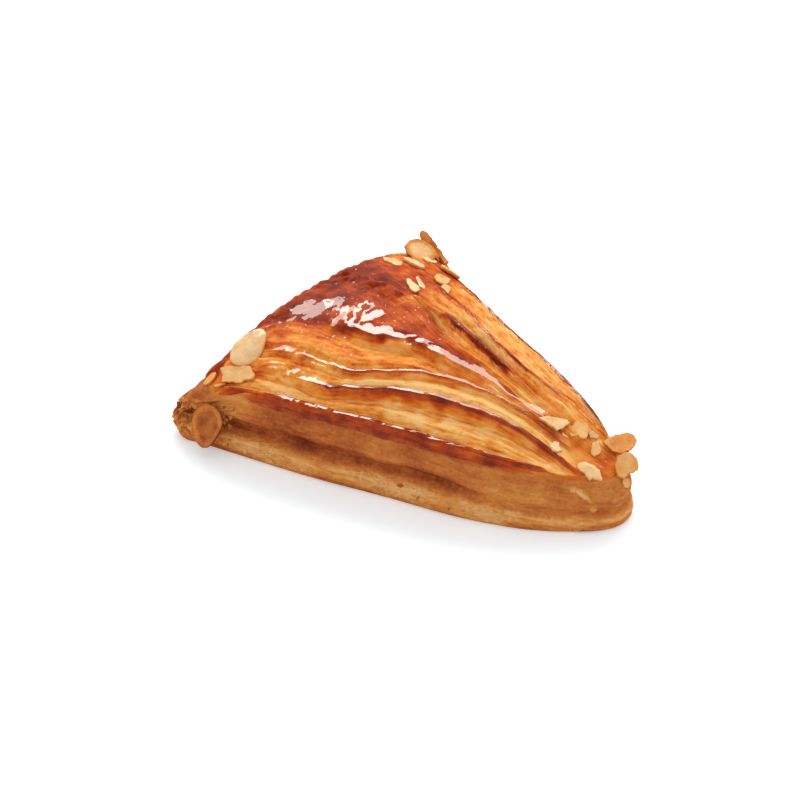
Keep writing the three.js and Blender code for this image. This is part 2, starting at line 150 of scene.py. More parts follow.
def noise(u, v, seed):
    """Smooth noise of about -1 to 1, with a swell or a hollow every unit or two."""
    cell_u, cell_v = np.floor(u), np.floor(v)
    in_u, in_v = u - cell_u, v - cell_v
    mix_u, mix_v = smooth(in_u), smooth(in_v)

    def corner(a, b):
        drawn = np.sin((cell_u + a) * 127.1 + (cell_v + b) * 311.7 + seed * 74.7) * 43758.5453
        heading = 2 * np.pi * (drawn - np.floor(drawn))
        return np.cos(heading) * (in_u - a) + np.sin(heading) * (in_v - b)

    near = corner(0, 0) * (1 - mix_u) + corner(1, 0) * mix_u
    far = corner(0, 1) * (1 - mix_u) + corner(1, 1) * mix_u
    return 1.8 * (near * (1 - mix_v) + far * mix_v)


middle, half_width, crown, fullness = curve(MIDDLE), curve(HALF_WIDTH), curve(CROWN), curve(FULLNESS)
front_rim, back_rim, dome_middle = curve(FRONT_RIM), curve(BACK_RIM), curve(DOME_MIDDLE)
long_side, broad_side, open_corner = curve(LONG_SIDE), curve(BROAD_SIDE), curve(OPEN_CORNER_SIDE)


def envelope(x, across):
    edge = np.where(across < CROWN_AT, front_rim(x), back_rim(x))
    reach = np.where(across < CROWN_AT, CROWN_AT + 1, 1 - CROWN_AT)
    away = np.abs(across - CROWN_AT) / reach
    return crown(x) - (crown(x) - edge) * away ** fullness(x)


def face_share(x):
    return np.minimum(1, half_width(x) / 35)


def crest_lines(crest, side):
    drawn, drop = curve(crest["line"]), curve(crest["drop"])

    def line(x):
        return drawn(x) + side * crest.get("roll", 0) / half_width(x)

    bead = (line, lambda x: -LIP * smooth(drop(x)))
    foot = (lambda x: line(x) + side * crest["face"] * face_share(x) / half_width(x), drop)
    return (foot, bead) if side < 0 else (bead, foot)


def flat(x):
    return np.zeros_like(x)


lines = [(lambda x: flat(x) - 1, flat)]
for crest in FRONT_CRESTS:
    lines += crest_lines(crest, -1)
lines.append((dome_middle, flat))
for crest in BACK_CRESTS:
    lines += crest_lines(crest, 1)
lines.append((lambda x: flat(x) + 1, flat))
DOME_LINE = 7


def spaced_places(x):
    places = [at(x) for at, _ in lines]
    for i in range(DOME_LINE - 1, -1, -1):
        places[i] = np.minimum(places[i], places[i + 1] - LEAST_GAP)
    for i in range(DOME_LINE + 1, len(places)):
        places[i] = np.maximum(places[i], places[i - 1] + LEAST_GAP)
    return np.array(places)


# Each column's lane, and how far across its lane it lies.
column_lane = np.concatenate([[0]] + [np.full(n, k) for k, n in enumerate(FINE_COLUMNS)])
column_share = np.concatenate([[0.0]] + [np.arange(1, n + 1) / n for n in FINE_COLUMNS])
columns = len(column_lane) - 1
solid_place = np.cumsum([0] + SOLID_COLUMNS)[column_lane] + column_share * np.array(SOLID_COLUMNS)[column_lane]

row = np.arange(FINE_ROWS + 1)[:, None] / FINE_ROWS
lane = np.broadcast_to(column_lane, (FINE_ROWS + 1, columns + 1))
share = np.broadcast_to(column_share, lane.shape)
eased = np.where(np.isin(lane, (0, 2, 4)), share ** 1.5, np.where(lane == 13, 1 - (1 - share) ** 1.5, share))
x = TIP_X + (BASE_X - TIP_X) * row + 0 * share
for turn in range(8):
    places = spaced_places(x)
    first = np.take_along_axis(places, lane[None], 0)[0]
    last = np.take_along_axis(places, lane[None] + 1, 0)[0]
    across = first + (last - first) * eased
    tip = TIP_ROUND_FROM + (TIP_X - TIP_ROUND_FROM) * np.sqrt(np.maximum(0, 1 - across ** 2))
    full_width = (1 - np.minimum(1, np.abs(across)) ** CORNER_POWER) ** (1 / CORNER_POWER)
    base = BASE_X + CORNER_ROUND * (1 - full_width)
    x = (x + tip + (base - tip) * row) / 2
depths = np.array([depth(x) for _, depth in lines])
before = np.take_along_axis(depths, lane[None], 0)[0]
after = np.take_along_axis(depths, lane[None] + 1, 0)[0]
opened = smooth(np.maximum(before, after))
swell = np.isin(lane, OPENED_LANES) * BAND_SWELL * opened * np.sin(np.pi * eased)
y = middle(x) + across * half_width(x)
broad_blister = np.sin(0.31 * x + 0.22 * y + 1.2) * np.sin(0.27 * y - 0.14 * x + 2.1)
narrow_blister = np.sin(0.52 * x - 0.36 * y + 0.4) * np.sin(0.47 * y + 0.29 * x + 0.9)
z = envelope(x, across) - before - (after - before) * smooth(eased) + swell
z = z + BLISTER * (0.55 * broad_blister + 0.45 * narrow_blister)

# Fine relief of the top. Opened bands have the edges of single layers along them, and every crest is a rolled
# edge of crust, beaded where the wash ran together. The rolls in front have a level shelf behind them, given
# by its width, how far the band takes to rise from it, its lip and how dark it baked. Those behind are ridges,
# given by how far they lie towards their steep face, height, half width, where they baked darkest and how
# dark, and how wet.
SHELVES = {0: (1.1, 3.5, 0.3, 0.76), 2: (0.8, 3, 0.15, 0.78), 4: (0.6, 1.6, 0.15, 0.62), 6: (1.2, 3, 0.2, 0.6)}
RIDGES = {
    8: (0.3, 0.3, 1.2, (4, -14), 0.66, 0.1), 10: (-1.2, 1.1, 1.5, (30, -14), 0.9, 0.45),
    12: (-0.6, 0.8, 0.7, (46, -30), 0.82, 0.6), 14: (-0.9, 0.6, 1.0, (80, -80), 0.86, 0.9),
}
# Pools where the egg wash ran together and dried thick and level, so that they glint: lines of [x, y] points,
# each with half its width.
WASH_POOLS = [
    ([(-62.9, -23.4), (-61.2, -20.4), (-55.9, -18.9), (-54.6, -17.2)], 0.6),
    ([(-57.6, -11.9), (-53.9, -11), (-50.5, -9.8), (-49.9, -5.7)], 3),
    ([(-49.9, -5.7), (-48.2, -3.3)], 2.2), ([(-51, -15.2), (-47.7, -11.8)], 1.4),
    ([(-59.8, -9.1), (-55.7, -6.5)], 1.5), ([(-50.3, -2.1), (-47.3, 0.6)], 0.8),
    ([(-43.3, -6.9), (-46.2, -1.1)], 1),
    ([(-40.6, -5), (-37.2, -4.5)], 1.5), ([(-40.2, -5.5), (-36.9, -11.1)], 1.7),
    ([(-36.9, -11.1), (-35.3, -15), (-34.9, -17)], 0.8), ([(-39.6, -8.7), (-38.1, -14.6)], 0.6),
    ([(-35.8, -3.8), (-32.7, -9.9), (-31.3, -13), (-31, -15.4)], 0.7),
    ([(-34.8, -3.8), (-37.2, -0.7), (-36.4, 1.6), (-33.6, 2.3), (-32.3, -0.2), (-32.6, -3.1), (-30.2, -7.3),
      (-30.2, -10.5)], 0.4),
    ([(-29.3, -6.2), (-28.6, -3.7), (-27.8, -1.5)], 2), ([(-24.5, -11.3), (-21, -10.3)], 1),
    ([(-25.7, -9.6), (-22, -9), (-19.3, -6.7), (-15.5, -7.8), (-11.3, -6.7), (-9, -4.5)], 2),
    ([(-8.2, -6), (-7.4, -4.7), (-5.7, -2.9), (-2.9, -3.5), (-0.4, -3.8)], 0.9),
    ([(-0.4, -3.8), (4.7, -3.3), (9.9, -3), (13.5, -1.9), (18.4, -0.2), (24.9, -1.5), (30.9, -1.8), (37.2, -0.2),
      (42.9, 2.7)], 1.4),
    ([(-52.2, -34.3), (-49.3, -32.6), (-46.9, -30.8), (-43.9, -30.4), (-41.8, -30)], 1.1),
    ([(-39.5, -30.9), (-38.1, -29.2), (-35.2, -29.7), (-33, -30), (-28.3, -29.3)], 1.2),
    ([(-25, -28.2), (-22.1, -27.7)], 0.9),
    ([(-46.2, -38.3), (-44.2, -37.2), (-42.2, -36.7), (-42.8, -38.3), (-44.9, -39.1)], 0.7),
    ([(-39.8, -37.7), (-40, -39.7)], 0.9), ([(-36.6, -37.6), (-35.3, -36.3)], 1.6),
    ([(-35.3, -36.3), (-32.4, -37.3), (-29.7, -36.7), (-27.1, -35.3), (-23.7, -35.3)], 1.1),
]
# The rest of the relief, in millimetres: layer edges in the bands, wrinkles and one blister on the dome, and the
# bumps of the dome's far edge and of the broad rim.
LAYER_HEIGHT, WRINKLE_HEIGHT, FAR_BUMP_HEIGHT, RIM_BUMP_HEIGHT = 0.26, 0.22, 1.5, 0.9
BLISTER_AT, BLISTER_HEIGHT, BLISTER_WIDTH = (-4.4, -5), 1.1, 3 ** 0.5
place = lane + np.where(np.isin(lane, (2, 4)), eased, share)
along = TIP_X - x
lane_start = np.cumsum([0] + LANE_WIDTHS)
side_step = lane_start[lane] + share * np.array(LANE_WIDTHS)[lane]
inside = np.sin(np.pi * share)
in_band = np.isin(lane, OPENED_LANES) * opened * inside ** 0.5
wavy = side_step + 0.7 * noise(along / 8, side_step / 3, 9) + 0.3 * noise(along / 3, side_step / 1.5, 10)
broad_layers = noise(along / 22, wavy / 1.5, 3)
thin_layers = noise(along / 9, wavy / 0.75, 4)
layer_edges = 0.5 + broad_layers - 1.5 * bell(thin_layers / 0.13)
dome = smooth((place - 5.2) / 1.2) * smooth((8.2 - place) / 0.6)
wrinkles = noise(x / 8 + y / 22, y / 17, 5) + 0.2 * noise(x / 3.6 + y / 10, y / 8, 6)
rise = LAYER_HEIGHT * in_band * layer_edges + WRINKLE_HEIGHT * dome * wrinkles
dome_back = smooth((place - 7) / 0.5) * smooth((8.8 - place) / 0.6) * smooth((-x - 20) / 12)
rise += FAR_BUMP_HEIGHT * dome_back * noise(x / 3.2, y / 3.8, 37)
rise += BLISTER_HEIGHT * bell(np.hypot(x - BLISTER_AT[0], y - BLISTER_AT[1]) / BLISTER_WIDTH)
crest_dark, pooled = 0 * x, 0 * x


def beads_along(crest_line):
    beads = noise(along / 3.4, 0 * x + crest_line, 7) + 0.6 * noise(along / 1.5, 0 * x + crest_line, 8)
    return beads * (0.1 + 0.9 * smooth((-x - 4) / 20))


shelf_slope = np.interp(x, [-50, 45], [0.15, -0.02])
for crest_line, (wide, blend, lip, darkest) in SHELVES.items():
    opens = smooth(1.6 * depths[max(crest_line - 1, 1)])
    behind = (across - places[crest_line]) * half_width(x)
    at_crest = np.flatnonzero((column_lane == max(crest_line - 1, 0)) & (column_share == min(crest_line, 1)))[0]
    level = z[:, at_crest:at_crest + 1] + shelf_slope * behind + 0.16 * beads_along(crest_line)
    room = 1 - smooth((share - 0.35) / 0.5)
    held = (lane == crest_line) * room * (1 - smooth((behind - wide) / blend)) * opens
    rise = rise * (1 - held) + held * (level - z)
    rise += opens * lip * smooth((behind + 0.9) / 0.7) * (1 - smooth((behind - wide) / 0.7))
    glazed_over = smooth((behind + (1 if crest_line else 1.6)) / 0.8) * (1 - smooth((behind - wide - 0.3) / 0.5))
    glazed_over = glazed_over * opens * (lane <= crest_line) * (lane >= crest_line - 1)
    left_off = smooth((x + (34 if crest_line in (2, 4) else 62)) / 12)
    crest_dark = np.maximum(crest_dark, darkest * glazed_over * left_off)
    beaded = 1 if crest_line else smooth((x + 44) / 14) * smooth(1 + 2 * noise(along / 3.5, 0 * x, 39))
    pooled = np.maximum(pooled, glazed_over * left_off * beaded)
for crest_line, (shift, height, half, (dark_from, dark_to), darkest, wet) in RIDGES.items():
    opens = smooth(1.6 * depths[min(crest_line + 1, 13)])
    ahead = (across - places[crest_line]) * half_width(x) - shift
    rise += opens * height * (1 + 0.4 * beads_along(crest_line)) * bell(ahead / half)
    glazed_over = smooth(1.9 + 1.3 * ahead / half) * (1 - smooth((ahead - 0.9 * half) / (0.7 * half)))
    darkens = smooth((dark_from - x) / 6) * smooth((x - dark_to) / 6)
    crest_dark = np.maximum(crest_dark, darkest * opens * glazed_over * darkens)
    pooled = np.maximum(pooled, wet * opens * glazed_over)
# A glinting pool lies nearly level, apart from a slight slope that changes along the pastry.
POOL_LEVELLED = 0.85
slope_x = np.interp(x, [-50, 0, 45], [0.16, -0.05, -0.2])
slope_y = np.interp(x, [-50, 0, 45], [0.15, 0.05, -0.03])
ragged_x, ragged_y = x + 0.7 * noise(x / 1.5, y / 2.2, 33), y + 0.9 * noise(x / 1.5, y / 2.2, 34)
for pool, half in WASH_POOLS:
    heights = [z.flat[np.argmin((x - px) ** 2 + (y - py) ** 2)] for px, py in pool]
    nearest, ragged_nearest, level = np.full(x.shape, 1e9), np.full(x.shape, 1e9), 0 * x
    for (x0, y0), (x1, y1), z0, z1 in zip(pool, pool[1:], heights, heights[1:]):
        length = (x1 - x0) ** 2 + (y1 - y0) ** 2
        for u, v, ragged in ((x, y, False), (ragged_x, ragged_y, True)):
            t = np.clip(((u - x0) * (x1 - x0) + (v - y0) * (y1 - y0)) / length, 0, 1)
            off_x, off_y = u - x0 - t * (x1 - x0), v - y0 - t * (y1 - y0)
            off = np.hypot(off_x, off_y)
            if ragged:
                ragged_nearest = np.minimum(ragged_nearest, off)
            else:
                level = np.where(off < nearest, z0 + t * (z1 - z0) + slope_x * off_x + slope_y * off_y, level)
                nearest = np.minimum(nearest, off)
    levelled = POOL_LEVELLED * (1 - smooth((nearest - half - 0.3) / 1.2))
    rise = rise * (1 - levelled) + levelled * (level - z)
    pooled = np.maximum(pooled, 1 - smooth((ragged_nearest - half) / 0.4 + 0.5))
fade = smooth(row * 40) * smooth((1 - row) * 40)
rim_bumps = smooth((-x - 54) / 8) * smooth((y + 32) / 8) * smooth((40 - y) / 8) * noise(y / 3.4, x / 5, 40)
top = np.stack([x, y, z + rise * fade + RIM_BUMP_HEIGHT * rim_bumps], axis=-1)

# The sides, where the dough's cut layers rose: a bulge, a crease round the waist and a wider, flakier bulge.
# They hang from the rim ring by ring, and each ring runs by tip, back side, broad side and front side.
rows_down = np.arange(FINE_ROWS)
loop_i = np.concatenate([np.zeros(columns, int), rows_down, np.full(columns, FINE_ROWS), FINE_ROWS - rows_down])
loop_j = np.concatenate([np.arange(columns), np.full(FINE_ROWS, columns), columns - np.arange(columns),
                         np.zeros(FINE_ROWS, int)])
solid_row = rows_down / FINE_ROWS * SOLID_ROWS
solid_columns = sum(SOLID_COLUMNS)
solid_loop = np.concatenate([
    solid_place[:-1], solid_columns + solid_row, solid_columns + SOLID_ROWS + solid_columns - solid_place[:0:-1],
    2 * solid_columns + SOLID_ROWS + solid_row,
])
rim = top[loop_i, loop_j]
NEIGHBOUR = 11
before_rim, after_rim = np.roll(rim, NEIGHBOUR, axis=0), np.roll(rim, -NEIGHBOUR, axis=0)
outwards = np.stack([after_rim[:, 1] - before_rim[:, 1], before_rim[:, 0] - after_rim[:, 0]], axis=-1)
outwards /= np.linalg.norm(outwards, axis=1, keepdims=True)
# How far down each ring of the sides lies, from 0 at the rim to 1 at the foot, with close rings under the rim.
CLOSE_RINGS, CLOSE_DOWN = 13, 0.11
down = np.interp(np.arange(1, SIDE_RINGS + 1), [0, CLOSE_RINGS, SIDE_RINGS], [0, CLOSE_DOWN, 1])[:, None]
broad = smooth((-outwards[:, 0] - 0.45) / 0.4)
# Millimetres that the sides stand out or in by: the glaze's rolled edge, the crease round the waist, what fills
# it out at the tip, a notch in it near the open corner, waves and layers, and a skin that tore beside the tip.
ROLL_HEIGHT, CREASE_DEPTH, TIP_FILLING, NOTCH_DEPTH, WAVE_HEIGHT, TORN_HEIGHT = 1.3, 1.8, 1.5, 2, 0.7, 1.7
NOTCH_AT = (-49, 13)
CREASE_AT = 0.57
CORNER_SHADE_SPREAD = 22
TORN_SKIN = [[65.2, -7.6, 15.6], [68.5, -6.2, 14.3], [70.6, -5.2, 12.1], [72.2, -4.2, 8.4]]
# The glaze runs over the rim and a few millimetres down the sides, where it ends in a thick rolled edge.
GLAZED_SIDE = [[-62, 0], [-52, 0.8], [-43, 2.8], [-30, 4.3], [-2, 4.5], [32, 3.7], [45, 2.5], [58, 1.2], [74, 1]]
# A measure round the sides that meets itself without a seam, in about a millimetre a unit.
loop_at = 0.9 * (rim[:, 0] + rim[:, 1])
off_tip = smooth((52 - rim[:, 0]) / 26)
out = long_side(down) * (1 - broad) + broad_side(down) * broad
below_rim = rim[:, 2] * down
front_side = smooth((-outwards[:, 1] - 0.2) / 0.3)
bead = noise(loop_at / 3.4, 0 * down, 17) + 0.5 * noise(loop_at / 1.6, 0 * down, 18)
glazed_down = curve(GLAZED_SIDE)(rim[:, 0]) * front_side + (1 - front_side) * (1.6 + 3 * broad)
glazed_down = glazed_down + 0.5 * noise(loop_at / 7, 0 * loop_at, 31) + 0.15 * noise(loop_at / 2.2, 0 * loop_at, 35)
rolled = smooth(below_rim / 1.6) * (1 - smooth((below_rim - glazed_down) / 1.2 + 0.5))
out = out + (ROLL_HEIGHT + 0.2 * bead) * rolled * smooth((glazed_down - 1.5) / 3)
# The crease also marks where the sides' colour is darkened with painted shade.
crease = bell((down - CREASE_AT + 0.03 * noise(loop_at / 19, 0 * down, 19)) / 0.12)
crease = crease * (0.9 + 0.2 * noise(loop_at / 12, 3 * down, 24)) * (off_tip + 0.1)
out = out + TIP_FILLING * (1 - off_tip) * bell((down - 0.52) / 0.14)
notch = bell((rim[:, 0] - NOTCH_AT[0]) / 3) * bell((rim[:, 2] - below_rim - NOTCH_AT[1]) / 3.5) * front_side
out = out - (CREASE_DEPTH * crease + NOTCH_DEPTH * notch) * (1 - 0.7 * broad)
off_corner = np.linalg.norm(rim - top[FINE_ROWS, 0], axis=1)
near_corner, around_corner = bell(off_corner / OPEN_CORNER_SPREAD), bell(off_corner / CORNER_SHADE_SPREAD)
turned = np.pi / (solid_columns + SOLID_ROWS) * solid_loop
waves = 0.6 * np.sin(9 * turned + 5 * down) + 0.4 * np.sin(16 * turned - 4 * down + 1)
layers = 0.7 * np.cos(down * 11 * np.pi + noise(loop_at / 5, 0 * down, 20))
layers = layers + noise(loop_at / 3, below_rim / 1.2, 21)
flakes = noise(loop_at / 14, below_rim / 1.3, 22) + 0.6 * noise(loop_at / 4, below_rim / 0.9, 23)
lower = smooth((down - 0.62) / 0.15)
relief = WAVE_HEIGHT * (waves * (1 - near_corner) + layers * near_corner)
relief = relief + flakes * (0.16 + 0.3 * lower) * (1 - near_corner)
relief = relief + 0.5 * near_corner * noise(loop_at / 1.3, below_rim / 1.3, 36)
out = out + relief * np.sin(np.pi * down)
corner_out = near_corner * open_corner(down)
sides = np.stack([
    rim[:, 0] + outwards[:, 0] * out + OPEN_CORNER_REACH[0] * corner_out,
    rim[:, 1] + outwards[:, 1] * out + OPEN_CORNER_REACH[1] * corner_out,
    rim[:, 2] * (1 - down),
], axis=-1)
torn_edge = 0 * down
for start, end in zip(TORN_SKIN, TORN_SKIN[1:]):
    reach = np.array(end) - start
    t = np.clip((sides - start) @ reach / (reach @ reach), 0, 1)
    off = np.linalg.norm(sides - start - t[..., None] * reach, axis=-1) + 0.4 * noise(loop_at, below_rim, 41)
    torn_edge = np.maximum(torn_edge, bell(off / 0.9))
sides[..., :2] += TORN_HEIGHT * outwards * torn_edge[..., None]

# How browned the crust is, from 0 for pale layers to 1 for the darkest glaze, from the front rim across to the
# back rim by lane, at several x between the tip and the broad side.
BROWNING = {
    50: {
        0: 0.6, 0.1: 0.4, 0.3: 0.3, 0.6: 0.22, 1: 0.3, 1.3: 0.42, 1.62: 0.5, 1.76: 0.72, 2: 0.75, 2.12: 0.6,
        2.25: 0.2, 2.6: 0.14, 3.7: 0.2, 4.7: 0.25, 5.5: 0.4, 6: 0.45, 8: 0.38, 9: 0.34, 9.6: 0.35, 10: 0.42,
        11.2: 0.4, 11.5: 0.2, 11.8: 0.4, 12.9: 0.45, 13.4: 0.22, 13.8: 0.34, 14: 0.7,
    },
    35: {
        0: 0.6, 0.08: 0.45, 0.2: 0.36, 0.5: 0.26, 0.8: 0.2, 1.05: 0.34, 1.3: 0.42, 1.6: 0.5, 1.74: 0.74,
        2: 0.76, 2.15: 0.6, 2.25: 0.2, 2.5: 0.1, 3: 0.14, 3.3: 0.3, 3.5: 0.42, 3.8: 0.4, 4.2: 0.3, 4.6: 0.24,
        5: 0.24, 5.3: 0.3, 5.5: 0.42, 6: 0.4, 6.4: 0.28, 7: 0.28, 7.4: 0.42, 7.8: 0.4, 8.2: 0.3, 9.2: 0.26,
        9.7: 0.42, 10.3: 0.38, 11.2: 0.45, 11.4: 0.22, 11.6: 0.2, 11.8: 0.5, 12.9: 0.42, 13.1: 0.34, 13.5: 0.22,
        13.85: 0.4, 14: 0.7,
    },
    10: {
        0: 0.6, 0.08: 0.5, 0.2: 0.4, 0.5: 0.25, 0.8: 0.18, 1.1: 0.3, 1.3: 0.45, 1.5: 0.54, 1.64: 0.74, 2: 0.78,
        2.12: 0.65, 2.22: 0.15, 2.5: 0.06, 2.9: 0.12, 3.2: 0.35, 3.8: 0.44, 4: 0.6, 4.15: 0.4, 4.8: 0.45,
        5.05: 0.3, 5.2: 0.2, 5.4: 0.4, 5.7: 0.42, 6: 0.6, 6.5: 0.76, 7: 0.76, 7.6: 0.6, 7.9: 0.5, 8.3: 0.38,
        9: 0.3, 9.2: 0.15, 9.4: 0.2, 9.6: 0.4, 10: 0.78, 10.9: 0.78, 11.1: 0.6, 11.3: 0.22, 11.55: 0.2,
        11.8: 0.5, 12: 0.4, 12.9: 0.42, 13.1: 0.3, 13.4: 0.2, 13.7: 0.24, 13.88: 0.5, 14: 0.75,
    },
    -8: {
        0: 0.6, 0.08: 0.5, 0.2: 0.38, 0.5: 0.26, 0.8: 0.22, 1.1: 0.35, 1.3: 0.45, 1.6: 0.68, 2: 0.74,
        2.12: 0.55, 2.25: 0.2, 2.5: 0.1, 2.9: 0.12, 3.2: 0.3, 3.8: 0.5, 4: 0.7, 4.15: 0.4, 4.8: 0.42, 5: 0.3,
        5.15: 0.2, 5.3: 0.4, 5.5: 0.56, 5.7: 0.72, 6.2: 0.78, 7: 0.68, 7.6: 0.62, 8.3: 0.66, 8.8: 0.7, 9: 0.5,
        9.15: 0.2, 9.35: 0.18, 9.7: 0.6, 9.9: 0.8, 10.9: 0.8, 11.1: 0.6, 11.3: 0.25, 11.5: 0.2, 11.75: 0.5,
        12.9: 0.48, 13.1: 0.34, 13.4: 0.22, 13.7: 0.3, 13.88: 0.5, 14: 0.75,
    },
    -22: {
        0: 0.6, 0.08: 0.5, 0.2: 0.36, 0.6: 0.3, 1: 0.38, 1.6: 0.5, 2: 0.5, 2.2: 0.36, 2.35: 0.22, 2.6: 0.3,
        3.4: 0.42, 3.9: 0.5, 4.2: 0.36, 4.5: 0.42, 4.7: 0.4, 4.9: 0.3, 5.1: 0.45, 5.35: 0.66, 5.6: 0.76, 6: 0.8,
        6.8: 0.7, 7.5: 0.6, 7.9: 0.56, 8.3: 0.46, 9.6: 0.42, 10.2: 0.5, 11.4: 0.5, 11.8: 0.58, 12.9: 0.6,
        13.1: 0.4, 13.5: 0.25, 13.85: 0.5, 14: 0.75,
    },
    -38: {
        0: 0.6, 0.1: 0.45, 0.3: 0.32, 0.7: 0.26, 1.1: 0.32, 1.4: 0.38, 2: 0.4, 2.4: 0.3, 2.7: 0.4, 3.9: 0.5,
        4.2: 0.4, 4.5: 0.42, 4.8: 0.34, 5: 0.5, 5.25: 0.68, 5.6: 0.8, 6.3: 0.78, 7: 0.74, 9: 0.8, 10: 0.82,
        11: 0.74, 11.6: 0.62, 12.8: 0.62, 14: 0.7,
    },
    -58: {
        0: 0.6, 0.2: 0.5, 2: 0.45, 4: 0.46, 4.8: 0.5, 5.2: 0.68, 5.7: 0.8, 9: 0.84, 10: 0.82, 11: 0.76,
        11.6: 0.62, 12.3: 0.52, 13.6: 0.52, 14: 0.7,
    },
}
stations = sorted(BROWNING, reverse=True)
on_dome = smooth((place - 4.8) / 0.5) * smooth((8.6 - place) / 0.5)
baked_place = place + 0.5 * on_dome * noise(along / 8, side_step / 6, 38)
by_station = [np.interp(baked_place, list(BROWNING[at]), list(BROWNING[at].values())) for at in stations]
bake_top = by_station[0]
for near_x, far_x, near_bake, far_bake in zip(stations, stations[1:], by_station, by_station[1:]):
    towards_far = smooth((near_x - x) / (near_x - far_x))
    bake_top = np.where(x < near_x, near_bake * (1 - towards_far) + far_bake * towards_far, bake_top)
bake_top = np.maximum(bake_top, (1 + 0.12 * noise(along / 6, side_step, 32)) * crest_dark)
at_tip = smooth((x - 58) / 12)
bake_top = bake_top * (1 - at_tip) + (0.5 + 0.15 * noise(x / 6, y / 6, 30)) * at_tip

# Below the rolled edge of glaze the sides are bare tan layers.
bare = smooth((below_rim - glazed_down) / 2.6 + 0.5)
dark_face = smooth((glazed_down - 1) / 2)
bake_side = 0.5 + 0.24 * dark_face * smooth(below_rim / 0.8 + 0.5) + 0 * down


def cells(sheet, turned_over=False):
    """The four corners of each cell of a sheet, in order round it."""
    corners = [sheet[:-1, :-1], sheet[:-1, 1:], sheet[1:, 1:], sheet[1:, :-1]]
    if turned_over:
        corners = corners[:1] + corners[:0:-1]
    return np.stack(corners, axis=2).reshape((-1, 4) + sheet.shape[2:])


def new_object(name, data):
    made = bpy.data.objects.new(name, data)
    bpy.context.scene.collection.objects.link(made)
    return made


def new_piece(name, at, faces):
    """A mesh object, from its points in metres and its faces."""
    data = bpy.data.meshes.new(name)
    data.from_pydata(at, [], faces)
    return new_object(name, data)


def set_values(data, name, values):
    """Gives each point of a mesh a named value."""
    data.attributes.new(name, "FLOAT", "POINT").data.foreach_set("value", values.astype(np.float32))


scale = 0.001
foot = np.array([[0, MIDDLE[0][1], 0]])
points = np.concatenate([top.reshape(-1, 3), sides.reshape(-1, 3), foot]) * scale
grid = np.arange(z.size).reshape(z.shape)
rings = grid.size + np.arange(below_rim.size).reshape(below_rim.shape)
rings = np.concatenate([grid[loop_i, loop_j][None], rings])
around = np.concatenate([rings, rings[:, :1]], axis=1)
top_faces, side_faces = cells(grid), cells(around, True)
foot_faces = [(len(points) - 1, int(b), int(a)) for a, b in zip(around[-1, :-1], around[-1, 1:])]

pastry = new_piece("pastry_crust", points.tolist(), top_faces.tolist() + side_faces.tolist() + foot_faces)
mesh = pastry.data
mesh.polygons.foreach_set("use_smooth", np.ones(len(mesh.polygons), bool))

# The layer map: along the slashes or round the sides, and across the layers, in tenths of a metre.
MAP_SCALE = 0.01
top_map = np.stack([along, side_step], axis=-1)
side_v = -20 - np.concatenate([[0 * rim[:, 2]], rim[:, 2] * down])
side_map = np.stack([np.broadcast_to(loop_at, side_v.shape), side_v], axis=-1)
side_map = np.concatenate([side_map, side_map[:, :1]], axis=1)
foot_map = np.zeros(6 * len(foot_faces))
layer_uv = np.concatenate([cells(top_map).ravel(), cells(side_map, True).ravel(), foot_map])
mesh.uv_layers.new(name="layers").data.foreach_set("uv", layer_uv * MAP_SCALE)

for name, on_top, on_sides, on_foot in (
    ("bake", bake_top, bake_side, 0.7),
    ("bare", 0 * bake_top, bare, 1.0),
    # crease: where painted shade darkens the sides in the crease round the waist.
    ("crease", 0 * bake_top, crease * bare, 0.0),
    ("pooled", pooled, rolled * (1 - 0.9 * broad), 0.0),
    ("threads", in_band * layer_edges, flakes * bare * (0.3 + 0.7 * lower) + 4.5 * torn_edge + near_corner, 0.0),
    # foot: darker towards the table, partly the foot's own browning and partly painted shade where it meets the
    # table.
    ("foot", 0 * bake_top, smooth((down - 0.76) / 0.2) + 0 * bare, 1.0),
    ("lower", 0 * bake_top, np.maximum(lower, 0.25 * (1 - off_tip)), 0.0),
    ("open_corner", 0 * bake_top, around_corner * (0.35 + 0.65 * smooth((rim[:, 2] - below_rim - 12) / 4)), 0.0),
):
    set_values(mesh, name, np.concatenate([np.ravel(on_top), np.ravel(on_sides), [on_foot]]))


def linear(hex_colour):
    """An sRGB hex colour as linear RGBA."""
    parts = [int(hex_colour[i:i + 2], 16) / 255 for i in (0, 2, 4)]
    return [p / 12.92 if p <= 0.04045 else ((p + 0.055) / 1.055) ** 2.4 for p in parts] + [1]


def add(tree, kind, inputs, out=0, stops=(), **settings):
    """Adds a node with its settings and its inputs, which are values or links, and returns an output. A kind
    without Node in its name is a shader node's."""
    node = tree.nodes.new(kind if "Node" in kind else "ShaderNode" + kind)
    for name, value in settings.items():
        setattr(node, name, value)
    for name, value in inputs.items():
        if isinstance(value, bpy.types.NodeSocket):
            tree.links.new(value, node.inputs[name])
        else:
            node.inputs[name].default_value = value
    while len(stops) > 2 and len(node.color_ramp.elements) < len(stops):
        node.color_ramp.elements.new(0.5)
    for element, (position, colour) in zip(node.color_ramp.elements if stops else (), stops):
        element.position = position
        element.color = linear(colour) if isinstance(colour, str) else (colour, colour, colour, 1)
    return node.outputs[out]


def new_material(name, uniform):
    """A new material with uniform values on its shader, its node tree and its shader."""
    made = bpy.data.materials.new(name)
    made.use_nodes = True
    shader = made.node_tree.nodes["Principled BSDF"]
    for socket, value in uniform.items():
        shader.inputs[socket].default_value = value
    return made, made.node_tree, shader


